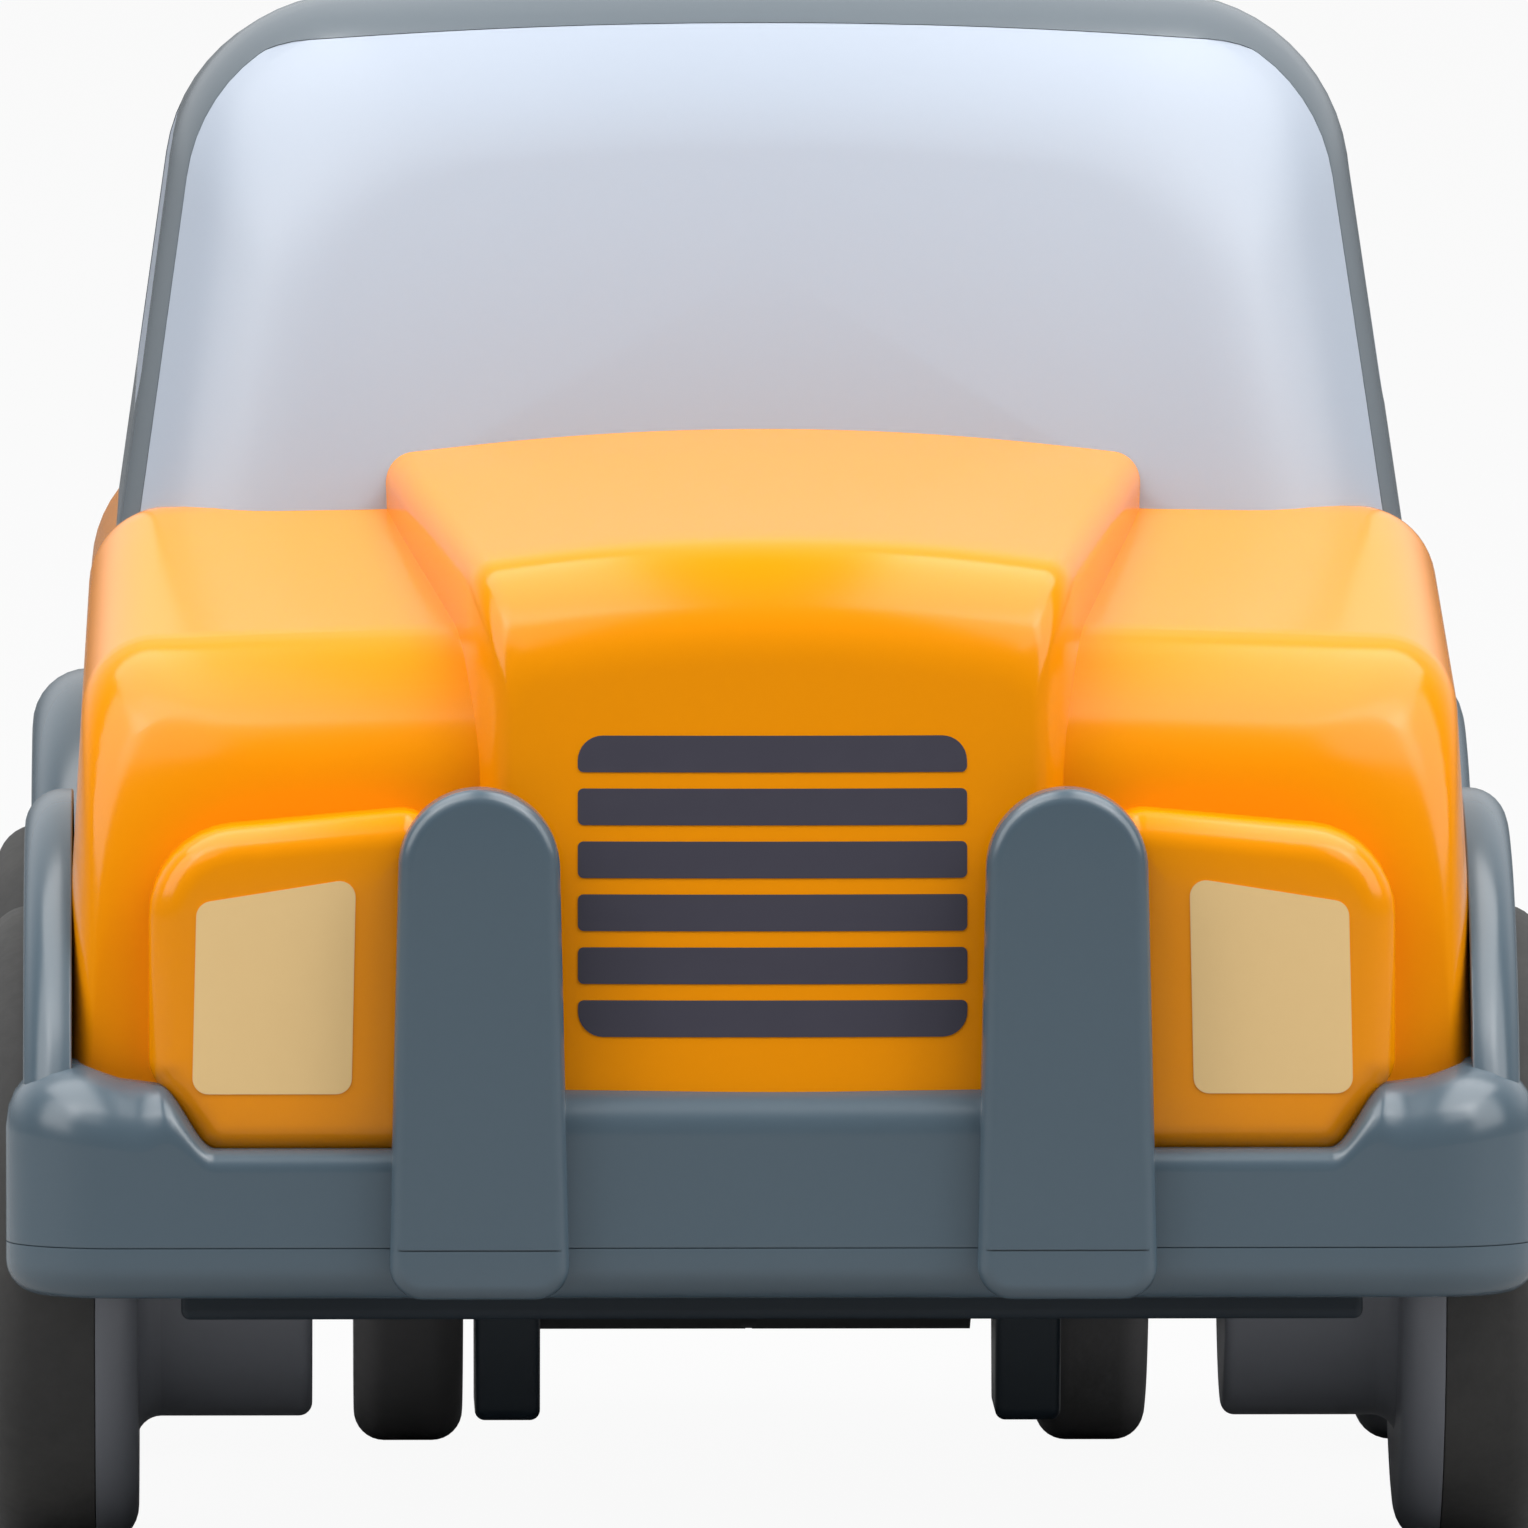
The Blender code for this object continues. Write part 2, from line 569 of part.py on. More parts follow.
def chassis_base():
    outer = plan_outline(FRAME_HALF, FRAME_FRONT_Y, FRAME_REAR_Y, FRAME_CORNER)
    base = solid("chassis_base", [swept(inset(outer, BASE_EDGE), "Z", BASE_BOTTOM_Z),
                                  swept(outer, "Z", BASE_BOTTOM_Z + BASE_EDGE),
                                  swept(outer, "Z", BASE_TOP_Z)], "slate")
    low, high = BASE_BOTTOM_Z - 1.0, BASE_TOP_Z + 1.0

    def well(name, side, span, middle, half):
        x0, x1 = sorted((side * span[0], side * span[1]))
        cut(base, box(name, (x0, middle - half, low), (x1, middle + half, high)))

    for side in (-1, 1):
        foot = rounded(POST_FOOT, POST_FOOT_ROUNDS, 2) * (side, 1)
        join(base, prism(f"post_foot_{side}", foot, "Y", POST_FRONT_Y, FRAME_FRONT_Y + 1.5))
        for axle_y in (FRONT_AXLE_Y, REAR_AXLE_Y):
            tag = f"{side}_{axle_y:.0f}"
            well(f"wheel_well_{tag}", side, (DRUM_WELL_X[1], BEYOND), axle_y, ARCH_RADIUS + GAP)
            well(f"drum_well_{tag}", side, DRUM_WELL_X, axle_y, DRUM_WELL_HALF)
        well(f"roller_well_{side}", side, ROLLER_WELL_X, REAR_AXLE_Y, ROLLER_WELL_HALF)
    cut(base, box("motor_well", (-MOTOR_WELL_HALF, MOTOR_WELL_Y[0], low),
                  (MOTOR_WELL_HALF, MOTOR_WELL_Y[1], high)))
    cut(base, box("axle_slot", (-WEB_INNER_X, FRONT_AXLE_Y - AXLE_SLOT_HALF, low),
                  (WEB_INNER_X, FRONT_AXLE_Y + AXLE_SLOT_HALF, high)))
    bracket = [(-BRACKET_LOW_HALF, BRACKET_BOTTOM_Z), (BRACKET_LOW_HALF, BRACKET_BOTTOM_Z),
               (BRACKET_HIGH_HALF, BASE_BOTTOM_Z), (BRACKET_HIGH_HALF, BRACKET_TOP_Z),
               (-BRACKET_HIGH_HALF, BRACKET_TOP_Z), (-BRACKET_HIGH_HALF, BASE_BOTTOM_Z)]
    bracket = np.array(bracket) + (FRONT_AXLE_Y, 0.0)
    for side in (-1, 1):
        x0, x1 = sorted((side * BRACKET_INNER_X, side * BRACKET_OUTER_X))
        join(base, prism(f"bracket_{side}", bracket, "X", x0, x1))
    join(base, box("front_rib", (-RIB_HALF, RIB_Y[0], RIB_BOTTOM_Z),
                   (RIB_HALF, RIB_Y[1], (BASE_BOTTOM_Z + BASE_TOP_Z) / 2)))
    web = [(-WEB_LOW_HALF, BASE_BOTTOM_Z), (WEB_LOW_HALF, BASE_BOTTOM_Z), (WEB_LOW_HALF, BASE_TOP_Z),
           (WEB_TOP_HALF, WEB_TOP_Z), (-WEB_TOP_HALF, WEB_TOP_Z), (-WEB_LOW_HALF, BASE_TOP_Z)]
    web = np.array(web) + (REAR_AXLE_Y, 0.0)
    for side in (-1, 1):
        x0, x1 = sorted((side * WEB_INNER_X, side * WEB_OUTER_X))
        join(base, prism(f"rear_web_{side}", web, "X", x0, x1))
    for axle_y in (FRONT_AXLE_Y, REAR_AXLE_Y):
        cut(base, rod(f"axle_bore_{axle_y:.0f}", -BEYOND, BEYOND, AXLE_RADIUS + GAP, (axle_y, AXLE_Z),
                      sides=12))
    for i, (x, y) in enumerate(BODY_SCREWS + MOTOR_SCREWS):
        cut(base, prism(f"screw_hole_{i}", circle((x, y), SCREW_RADIUS + GAP, SCREW_SIDES), "Z", low, high))
        cut(base, prism(f"screw_seat_{i}", circle((x, y), SCREW_HEAD_RADIUS + GAP, 12), "Z",
                        low, BASE_BOTTOM_Z + SCREW_HEAD + GAP))
    return base


def screw(name, x, y, length):
    """A pan-head screw driven up from below, its head sunk in the base."""
    head_top = BASE_BOTTOM_Z + SCREW_HEAD
    levels = ((BASE_BOTTOM_Z + 0.1, SCREW_HEAD_RADIUS * 0.7), (BASE_BOTTOM_Z + 0.4, SCREW_HEAD_RADIUS),
              (head_top, SCREW_HEAD_RADIUS), (head_top, SCREW_RADIUS),
              (head_top + length - 1.0, SCREW_RADIUS), (head_top + length, 0.2))
    rings = [swept(circle((x, y), radius, SCREW_SIDES), "Z", z) for z, radius in levels]
    return solid(name, rings, "steel")


def wheel(name, tyre_name, cap_name, side, axle_y):
    """A wheel with its stepped inner drum, the rubber band on it and the cap over the axle's end."""
    bore = AXLE_RADIUS + GAP
    flange = TYRE_INNER_X - GAP
    profile = [(DRUM_INNER_X, bore), (DRUM_INNER_X, DRUM_RADIUS - 0.6), (DRUM_INNER_X + 0.6, DRUM_RADIUS),
               (WHEEL_INNER_X - 0.9, DRUM_RADIUS), (WHEEL_INNER_X, DRUM_RADIUS + 0.9),
               (WHEEL_INNER_X, FLANGE_RADII[0]), (WHEEL_INNER_X + 0.6, FLANGE_RADII[1]),
               (flange, TYRE_RADIUS - 0.2),
               (flange, TYRE_SEAT_RADIUS), (WHEEL_FACE_X - 0.5, TYRE_SEAT_RADIUS),
               (WHEEL_FACE_X, TYRE_SEAT_RADIUS - 0.5), (WHEEL_FACE_X, DISH_RADII[0]),
               (DISH_X, DISH_RADII[1]), (DISH_X, bore)]
    seat = TYRE_SEAT_RADIUS + GAP
    band = [(TYRE_INNER_X, seat), (TYRE_INNER_X, TYRE_RADIUS)]
    band += [(x, TYRE_RADIUS - fall) for x, fall in TYRE_SHOULDERS]
    band += [(TYRE_SHOULDERS[-1][0], seat)]
    centre = (axle_y, AXLE_Z)
    turned(name, [(side * x, r) for x, r in profile], centre, "wheel")
    turned(tyre_name, [(side * x, r) for x, r in band], centre, "rubber")
    rings = [swept(circle(centre, r, 16), "X", side * x) for x, r in CAP_LEVELS]
    solid(cap_name, rings, "slate", (0.0, *centre))


def roller(core_name, band_name, side):
    """A driven roller on the rear axle: a plastic core with a round-shouldered rubber band."""
    centre = (REAR_AXLE_Y, AXLE_Z)
    bore, seat = AXLE_RADIUS + GAP, ROLLER_CORE_RADIUS
    core = [(ROLLER_INNER_X, bore), (ROLLER_INNER_X, seat), (ROLLER_OUTER_X, seat), (ROLLER_OUTER_X, bore)]
    band = [(ROLLER_INNER_X, seat + GAP), (ROLLER_INNER_X, TYRE_RADIUS - ROLLER_EDGE),
            (ROLLER_INNER_X + ROLLER_EDGE, TYRE_RADIUS), (ROLLER_OUTER_X - ROLLER_EDGE, TYRE_RADIUS),
            (ROLLER_OUTER_X, TYRE_RADIUS - ROLLER_EDGE), (ROLLER_OUTER_X, seat + GAP)]
    turned(core_name, [(side * x, r) for x, r in core], centre, "wheel")
    turned(band_name, [(side * x, r) for x, r in band], centre, "rubber")


def gear_outline(teeth, centre, tooth_angle):
    """Involute teeth as (y, z) points, with one tooth's middle at tooth_angle."""
    pitch = MODULE * teeth / 2
    base = pitch * math.cos(PRESSURE_ANGLE)
    root, tip = pitch - DEDENDUM * MODULE, pitch + ADDENDUM * MODULE
    half = math.pi / (2 * teeth) - BACKLASH / (2 * pitch)
    involute = math.tan(PRESSURE_ANGLE) - PRESSURE_ANGLE

    def half_angle(radius):
        roll = math.acos(min(base / radius, 1.0))
        return half + involute - (math.tan(roll) - roll)

    flank = [(root, half_angle(base))] + [(r, half_angle(r)) for r in (max(base, root + 0.05), pitch, tip)]
    points = []
    for tooth in range(teeth):
        middle = tooth_angle + tooth * 2 * math.pi / teeth
        points += [(r, middle - a) for r, a in flank] + [(r, middle + a) for r, a in reversed(flank)]
    return [(centre[0] + r * math.cos(a), centre[1] + r * math.sin(a)) for r, a in points]


def gear(name, teeth, centre, tooth_angle, x0, x1, finish=None):
    return prism(name, gear_outline(teeth, centre, tooth_angle), "X", x0, x1, finish, (0.0, *centre))


def gear_train():
    """Axle gear, double idler and flywheel, in mesh along one line of shafts."""
    axle = (REAR_AXLE_Y, AXLE_Z)
    shaft_end = CASE_HALF - SHAFT_END_GAP
    gap_angle = TRAIN_ANGLE + math.pi + math.pi / PINION_TEETH
    drive = gear("drive_gear", WHEEL_TEETH, axle, TRAIN_ANGLE, *DRIVE_GEAR_X, "gear")
    cut(drive, rod("drive_bore", -BEYOND, BEYOND, AXLE_RADIUS + GAP, axle, sides=12))
    idler = gear("idler_gear", WHEEL_TEETH, IDLER_YZ, TRAIN_ANGLE, *IDLER_WHEEL_X, "gear")
    join(idler, gear("idler_pinion_form", PINION_TEETH, IDLER_YZ, gap_angle, *IDLER_PINION_X))
    cut(idler, rod("idler_bore", -BEYOND, BEYOND, SHAFT_RADIUS + GAP, IDLER_YZ, sides=12))
    rod("idler_pin", PIN_INNER_X, shaft_end, SHAFT_RADIUS, IDLER_YZ, "steel", sides=12)
    pinion = gear("flywheel_pinion", PINION_TEETH, FLYWHEEL_YZ, gap_angle, *FLYWHEEL_PINION_X, "gear")
    cut(pinion, rod("pinion_bore", -BEYOND, BEYOND, SHAFT_RADIUS + GAP, FLYWHEEL_YZ, sides=12))
    rod("flywheel_shaft", -shaft_end, shaft_end, SHAFT_RADIUS, FLYWHEEL_YZ, "steel", sides=12)
    bore = SHAFT_RADIUS + GAP
    low, high = FLYWHEEL_X
    edge = FLYWHEEL_EDGE
    rim = [(low, bore), (low, FLYWHEEL_RADIUS - edge), (low + edge, FLYWHEEL_RADIUS),
           (high - edge, FLYWHEEL_RADIUS), (high, FLYWHEEL_RADIUS - edge), (high, bore)]
    turned("flywheel", rim, FLYWHEEL_YZ, "steel", sides=24)


def convex_outline(points):
    """The counter-clockwise hull of plane points."""
    points = sorted(map(tuple, points))
    hull = []
    for row in (points, points[::-1]):
        chain = []
        for p in row:
            while len(chain) > 1:
                (ax, ay), (bx, by) = chain[-2], chain[-1]
                if (bx - ax) * (p[1] - ay) - (by - ay) * (p[0] - ax) > 1e-9:
                    break
                chain.pop()
            chain.append(p)
        hull += chain[:-1]
    return hull


def case_outline(wall):
    rounds = [circle(centre, radius - wall, 20) for centre, radius in zip(SHAFTS, CASE_RADII)]
    return convex_outline(np.concatenate(rounds))


def motor_case(name, side):
    """One half of the drive's case: a cup with shaft holes and two screw ears."""
    def span(low, high):
        return sorted((side * low, side * high))

    case = prism(name, case_outline(0.0), "X", *span(GAP / 2, CASE_HALF), "black")
    for tag, (y0, y1) in (("front", FRONT_EAR_Y), ("rear", REAR_EAR_Y)):
        ear = [(y0, EAR_Z), (y1, EAR_Z), (y1, EAR_Z + EAR_THICKNESS), (y0, EAR_Z + EAR_THICKNESS)]
        join(case, prism(f"ear_{tag}_{side}", ear, "X", *span(*EAR_X)))
    cut(case, prism(f"case_hollow_{side}", case_outline(CASE_WALL), "X",
                    *span(-CASE_WALL, CASE_HALF - CASE_WALL)))
    holes = ((SHAFTS[0], AXLE_RADIUS), (IDLER_YZ, SHAFT_RADIUS), (FLYWHEEL_YZ, SHAFT_RADIUS))
    for i, (centre, radius) in enumerate(holes):
        if i == 1 and side < 0:
            continue
        cut(case, rod(f"shaft_hole_{side}_{i}", *span(CASE_HALF - 2 * CASE_WALL, BEYOND), radius + GAP,
                      centre, sides=12))
    for i, (x, y) in enumerate(MOTOR_SCREWS):
        if x * side > 0:
            cut(case, prism(f"ear_hole_{i}", circle((x, y), SCREW_RADIUS + GAP, SCREW_SIDES), "Z",
                            EAR_Z - 1.0, EAR_Z + 2 * EAR_THICKNESS))
    return case


def main():
    clear_scene()
    body_shell()
    canopy_frame()
    window_insert()
    fender_frame()
    chassis_base()
    for end, axle_y in (("front", FRONT_AXLE_Y), ("rear", REAR_AXLE_Y)):
        rod(f"{end}_axle", -AXLE_HALF, AXLE_HALF, AXLE_RADIUS, (axle_y, AXLE_Z), "steel", sides=12)
        for hand, side in (("left", -1), ("right", 1)):
            tag = f"{end}_{hand}"
            wheel(f"wheel_{tag}", f"tyre_{tag}", f"hub_cap_{tag}", side, axle_y)
    for hand, side in (("left", -1), ("right", 1)):
        roller(f"roller_core_{hand}", f"roller_band_{hand}", side)
        motor_case(f"motor_case_{hand}", side)
    gear_train()
    for i, (x, y) in enumerate(BODY_SCREWS):
        screw(f"body_screw_{i + 1}", x, y, BODY_SCREW_LENGTH)
    for i, (x, y) in enumerate(MOTOR_SCREWS):
        screw(f"motor_screw_{i + 1}", x, y, MOTOR_SCREW_LENGTH)


main()
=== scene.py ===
"""The dressed toy off-road car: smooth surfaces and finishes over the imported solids.

The car stands on z = 0 and faces -Y. Lengths are in millimetres and are turned into metres where a
mesh is made. Each visible moulding is a surface over a grid of two parameters.
"""

import json
import math

import bmesh
import bpy
import numpy as np
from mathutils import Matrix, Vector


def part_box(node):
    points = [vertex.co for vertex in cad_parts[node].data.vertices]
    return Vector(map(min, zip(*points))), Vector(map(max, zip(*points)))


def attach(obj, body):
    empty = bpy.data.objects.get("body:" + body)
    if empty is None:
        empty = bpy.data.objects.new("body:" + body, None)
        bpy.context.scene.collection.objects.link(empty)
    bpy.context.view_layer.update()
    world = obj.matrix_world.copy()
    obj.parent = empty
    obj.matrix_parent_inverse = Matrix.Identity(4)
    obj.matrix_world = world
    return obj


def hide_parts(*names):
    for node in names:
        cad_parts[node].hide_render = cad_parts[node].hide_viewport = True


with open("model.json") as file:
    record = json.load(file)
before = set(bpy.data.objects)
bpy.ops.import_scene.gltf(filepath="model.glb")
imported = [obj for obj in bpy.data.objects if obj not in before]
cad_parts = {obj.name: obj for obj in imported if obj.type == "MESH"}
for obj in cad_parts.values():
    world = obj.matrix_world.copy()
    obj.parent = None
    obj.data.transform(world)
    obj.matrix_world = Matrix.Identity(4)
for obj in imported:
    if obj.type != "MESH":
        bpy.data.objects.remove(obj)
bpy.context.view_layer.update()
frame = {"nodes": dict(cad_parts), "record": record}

MM = 0.001

# Axles and wheels
AXLE_Z = 14.2
FRONT_AXLE_Y = -29.0
REAR_AXLE_Y = 27.0
AXLE_BORE = 1.4
TYRE_RADIUS = 14.2
TYRE_INNER_X = 29.9
TYRE_OUTER_X = 34.6
TYRE_SEAT_RADIUS = 11.6
WHEEL_INNER_X = 27.9
WHEEL_FACE_X = 34.1
DRUM_INNER_X = 20.2
DRUM_RADIUS = 8.5
FILLET = 1.1
FACE_RIM_RADIUS = 10.1
FACE_DISH_X = 31.8
FACE_DISH_RADIUS = 8.4
CAP_RADIUS = 6.3
CAP_BACK_X = 31.5
CAP_EDGE_X = 33.6
CAP_FRONT_X = 34.2
CAP_CENTRE = 0.05
ROLLER_INNER_X = 13.2
ROLLER_OUTER_X = 18.2
ROLLER_CORE_RADIUS = 11.4
CASE_SHAFTS = ((27.0, 14.2), (19.6276, 19.3622), (12.2553, 24.5244))
CASE_RADII = (9.0, 8.5, 11.9)
TONGUE_OUT = -0.06
TONGUE_IN = 1.2
TONGUE_HALF = 0.35

# Orange body
BODY_FRONT_Y = -46.6
BODY_REAR_Y = 47.5
BODY_BOTTOM_Z = 15.0
BODY_HALF = 31.7
BODY_LEAN = math.radians(3.3)
BODY_SHOULDER = 3.4
REAR_SHOULDER = 6.0
NOSE_SHOULDER = 6.0
BODY_CROWN = 0.7
BODY_TOP_Z = 46.2
BONNET_FRONT_Z = 40.6
COWL_Y = -18.0
NOSE_RADIUS = 1.4
NOSE_DEPTH = 6.0
NOSE_BULGE = 1.3
BULGE_REACH = 24.0
NOSE_DROP = 5.5
NOSE_RAKE = math.tan(math.radians(4.0))
BODY_WALL = 1.6
BODY_ARCH = 16.3

# Raised bonnet and headlight blocks
DOME_FRONT_Y = -48.5
DOME_REAR_Y = -12.0
DOME_BOTTOM_Z = 21.2
DOME_FRONT_HALF = 12.8
DOME_HALF_GROWTH = 0.14
DOME_FRONT_TOP_Z = 45.2
DOME_SLOPE = 0.138
DOME_EDGE = 1.4
DOME_NOSE = 4.5
DOME_CROWN = 1.0
DOME_BULGE = 0.7
DOME_BULGE_REACH = 24.0
LAMP_FRONT_Y = -48.3
LAMP_EDGE = 1.6
LAMP_CORNERS = ((14.6, 18.5), (24.9, 18.5), (27.4, 22.4), (27.4, 32.8), (14.6, 34.0))
LAMP_ROUNDS = (1.7, 1.7, 1.7, 4.0, 1.7)

# Printed patches
INK = 0.04
PATCH_CORNERS = ((18.5, 21.4), (25.5, 21.4), (25.3, 29.8), (18.3, 30.9))
PATCH_ROUND = 0.7
BAR_HALF = 8.55
BAR_HEIGHT = 1.6
BAR_PITCH = 2.32
BAR_COUNT = 6
BAR_ROUND = 0.25
BAR_STEP = 0.4
GRILLE_TOP_Z = 37.1
GRILLE_ROUND = 1.1

# Grey roof with its glazing
CAB_BOTTOM_Z = 44.0
CAB_TOP_Z = 68.7
CAB_FOOT_Z = 42.8
ROOF_FALL = 1.9
CAB_HALF = 28.9
CAB_LEAN = math.radians(8.0)
CAB_SHOULDER = 8.3
CAB_CROWN = 0.8
CAB_FRONT_Y = -21.0
CAB_REAR_Y = 45.0
CAB_EDGE = 3.0
SCREEN_EDGE = 7.0
SCREEN_RAKE = math.tan(math.radians(24.0))
BACK_RAKE = math.tan(math.radians(7.0))
SCREEN_BULGE = 2.0
SCREEN_ROUND = 3.6
BACK_BULGE = 1.2
SIDE_WINDOW = ((-11.6, 49.4), (38.6, 49.4), (37.0, 61.4), (-5.6, 61.4))
SIDE_WINDOW_ROUNDS = (1.5, 2.0, 3.0, 3.0)
BACK_WINDOW_LOW_Z = 49.0
BACK_WINDOW_SHARE = 0.86
SCREEN_RIM_SIDE = 0.42
SCREEN_RIM_TOP = 1.85
ROOF_WALL = 1.6
GLASS_WALL = 1.2
SEAM = 0.03
LEAST_EDGE = 0.6
HOLLOW_DROP = 6.0
SCREEN_SINK = 3.0
PLUG_STEPS = (-8.0, -4.0, 0.0, 3.6)
PLUG_HALF = 40.0

# Slate fender frame and lower lip
FRAME_HALF = 33.7
FLARE_HALF = 32.95
FRAME_FRONT_Y = -49.7
FRAME_REAR_Y = 51.0
FRAME_CORNER = 5.0
FRAME_INNER_HALF = 32.0
FRAME_BOTTOM_Z = 14.7
BUMPER_TOP_Z = 21.6
HORN_TOP_Z = 21.8
HORN_TILT = 0.13
NOTCH_Z = 19.0
SILL_TOP_Z = 19.0
BUMPER_DEPTH = 3.3
BUMPER_REACH = 7.0
BUMPER_EDGE = 1.8
BUMPER_FOOT_EDGE = 0.08
BUMPER_BACK_EDGE = 0.3
BUMPER_ROWS = (0.03, 0.3, 0.7, 0.97)
NOTCH_X = (13.5, 15.5)
NOTCH_EDGE_LOSS = 0.9
HORN_X = (24.5, 27.0)
HORN_EDGE_X = (24.5, 28.0)
HORN_EDGE_GAIN = 2.0
ARCH_RADIUS = 15.0
LINER_RADIUS = 16.0
FLARES = {"front": (19.4, 30.8, 1.7), "rear": (21.4, 29.8, 2.6)}
LINER_X = 26.2
LINER_WALL = 1.0
DRUM_HOLE_RADIUS = 9.3
POST_FRONT_Y = -51.0
POST_BACK_Y = -48.6
POST_X = 12.9
POST_BOTTOM_HALF = 3.95
POST_TOP_HALF = 3.55
POST_TOP_Z = 34.95
POST_EDGE = 0.7
POST_FOOT_ROUND = 1.5
LIP_BOTTOM_Z = 12.4
LIP_TOP_Z = 14.69
LIP_EDGE = 1.5
GROOVE_HALF = 30.0
GROOVE_DEPTH = 0.1
GROOVE_LOW = 0.04
GROOVE_HIGH = 0.03

# Openings, seats and plates of the lower pan
CUT_MARGIN = 1.0
MOTOR_WELL_HALF = 11.0
MOTOR_WELL_Y = (5.0, 36.4)
SLOT_HALF = 20.0
SLOT_REACH = 2.0
WHEEL_WELLS = (("wheel", 26.8, 40.0, ARCH_RADIUS + 0.3), ("drum", 19.4, 27.2, 9.6))
ROLLER_WELL_X = (10.8, 19.4)
ROLLER_WELL_REACH = 15.2
SEAT_ROUND = 0.99
SEAT_GROWTH = 1.15
SEAT_DEPTH = 1.2
BRACKET_CORNERS = ((-4.2, 5.75), (4.2, 5.75), (5.6, 12.4), (5.6, 17.6), (-5.6, 17.6), (-5.6, 12.4))
WEB_CORNERS = ((-18.0, 12.5), (18.0, 12.5), (18.0, 14.4), (12.0, 21.0), (-12.0, 21.0), (-18.0, 14.4))
# The front brackets are pan slate; their darker finish is painted shade from under the car.
PLATES = (("bracket", 10.1, 13.0, FRONT_AXLE_Y, BRACKET_CORNERS, 0.45, "painted_shade_slate"),
          ("rear_web", 18.6, 19.8, REAR_AXLE_Y, WEB_CORNERS, 0.2, "slate"))
PLATE_ROUND = 1.6
RIB_CORNERS = ((-46.5, 11.3), (-43.0, 11.3), (-43.0, 13.4), (-46.5, 13.4))
RIB_HALF = 26.0
RIB_ROUND = 0.5
RIB_EDGE = 0.4

# View and studio, in metres but for the aim
VIEW_AIM = (-0.1, FRONT_AXLE_Y, 34.7)
VIEW_AZIMUTH = math.radians(-0.85)
VIEW_ELEVATION = math.radians(3.6)
VIEW_DISTANCE = 1.544
VIEW_FIELD = math.radians(2.52)
SENSOR = 36.0
FLOOR_HALF = 3.0
FLOOR_WHITE = 0.94
BACKDROP_BASE = 0.08
BACKDROP_RISES = (("Y", (0.1, 0.8, 0.0, 0.9)), ("Z", (0.0, 0.3, 0.1, 1.0)))
LAMPS = (("left_top_box", (-0.37, -0.1, 0.75), (-0.37, -0.1, 0.0), (0.56, 0.9), 5.2),
         ("right_top_box", (0.37, -0.1, 0.75), (0.37, -0.1, 0.0), (0.56, 0.9), 5.8),
         ("left_front_box", (-0.42, -0.58, 0.75), (0.0, -0.03, 0.04), (0.6, 0.5), 1.2),
         ("right_front_box", (0.46, -0.58, 0.72), (0.0, -0.03, 0.04), (0.56, 0.46), 1.6),
         ("left_box", (-0.75, -0.3, 0.5), (0.0, 0.0, 0.03), (0.6, 0.6), 2.9),
         ("right_box", (0.75, -0.3, 0.5), (0.0, 0.0, 0.03), (0.6, 0.6), 2.9))

SIDES = (("left", -1), ("right", 1))
AXLES = (("front", FRONT_AXLE_Y), ("rear", REAR_AXLE_Y))


class Wire:
    """A shader socket that does sums: an operator on it adds the Math node for that sum."""

    def __init__(self, paint, socket):
        self.paint = paint
        self.socket = socket

    def sum(self, operation, first, second):
        return self.paint.node("Math", {"operation": operation}, {0: first, 1: second})

    def __add__(self, other):
        return self.sum("ADD", self, other)

    __radd__ = __add__

    def __sub__(self, other):
        return self.sum("SUBTRACT", self, other)

    def __rsub__(self, other):
        return self.sum("SUBTRACT", other, self)

    def __mul__(self, other):
        return self.sum("MULTIPLY", self, other)

    __rmul__ = __mul__


class Paint:
    """The node tree of one finish."""

    def __init__(self, name):
        self.material = bpy.data.materials.new(name)
        self.material.use_nodes = True
        self.tree = self.material.node_tree
        self.shader = self.tree.nodes["Principled BSDF"]

    def node(self, kind, settings=None, inputs=None, output=0):
        """Adds a node of that type, with its settings set first and then its sockets' values or links."""
        made = self.tree.nodes.new("ShaderNode" + kind)
        for key, value in (settings or {}).items():
            if key == "stops":
                made.color_ramp.elements[0].position = value[0][0]
                made.color_ramp.elements[0].color = value[0][1]
                made.color_ramp.elements[1].position = value[1][0]
                made.color_ramp.elements[1].color = value[1][1]
            else:
                setattr(made, key, value)
        for key, value in (inputs or {}).items():
            self.feed(made.inputs[key], value)
        return Wire(self, made.outputs[output])

    def feed(self, socket, value):
        if isinstance(value, Wire):
            self.tree.links.new(value.socket, socket)
        else:
            socket.default_value = value

    def place(self):
        return self.node("TexCoord", output="Object")

    def noise(self, scale, detail=3.0, stretch=(1.0, 1.0, 1.0)):
        """Noise with that many waves in a metre, stretched along the axes."""
        mapped = self.node("Mapping", inputs={"Vector": self.place(), "Scale": stretch})
        return self.node("TexNoise", inputs={"Vector": mapped, "Scale": scale, "Detail": detail})

    def blend(self, share, first, second):
        return self.node("Mix", {"data_type": "RGBA"}, {0: share, 6: (*first, 1.0), 7: (*second, 1.0)}, 2)

    def bump(self, height, strength, distance):
        return self.node("Bump", inputs={"Height": height, "Strength": strength, "Distance": distance})

    def finish(self, **sockets):
        for key, value in sockets.items():
            self.feed(self.shader.inputs[key.replace("_", " ")], value)
        return self.material


def moulded_plastic(name, colour, deep, roughness, spread, grain, specular=0.5):
    """Injection-moulded plastic: flow clouds in the colour, uneven gloss and a fine mould texture."""
    paint = Paint(name)
    clouds = paint.noise(38.0, 2.0)
    specks = paint.noise(2600.0, 2.0)
    handling = paint.noise(160.0, 5.0, (1.0, 1.0, 0.4))
    paint.shader.inputs["Specular IOR Level"].default_value = specular
    return paint.finish(
        Base_Color=paint.blend(clouds * 0.7 + specks * 0.3, deep, colour),
        Roughness=handling * spread + (roughness - spread / 2),
        Normal=paint.bump(specks, grain, 0.00002))


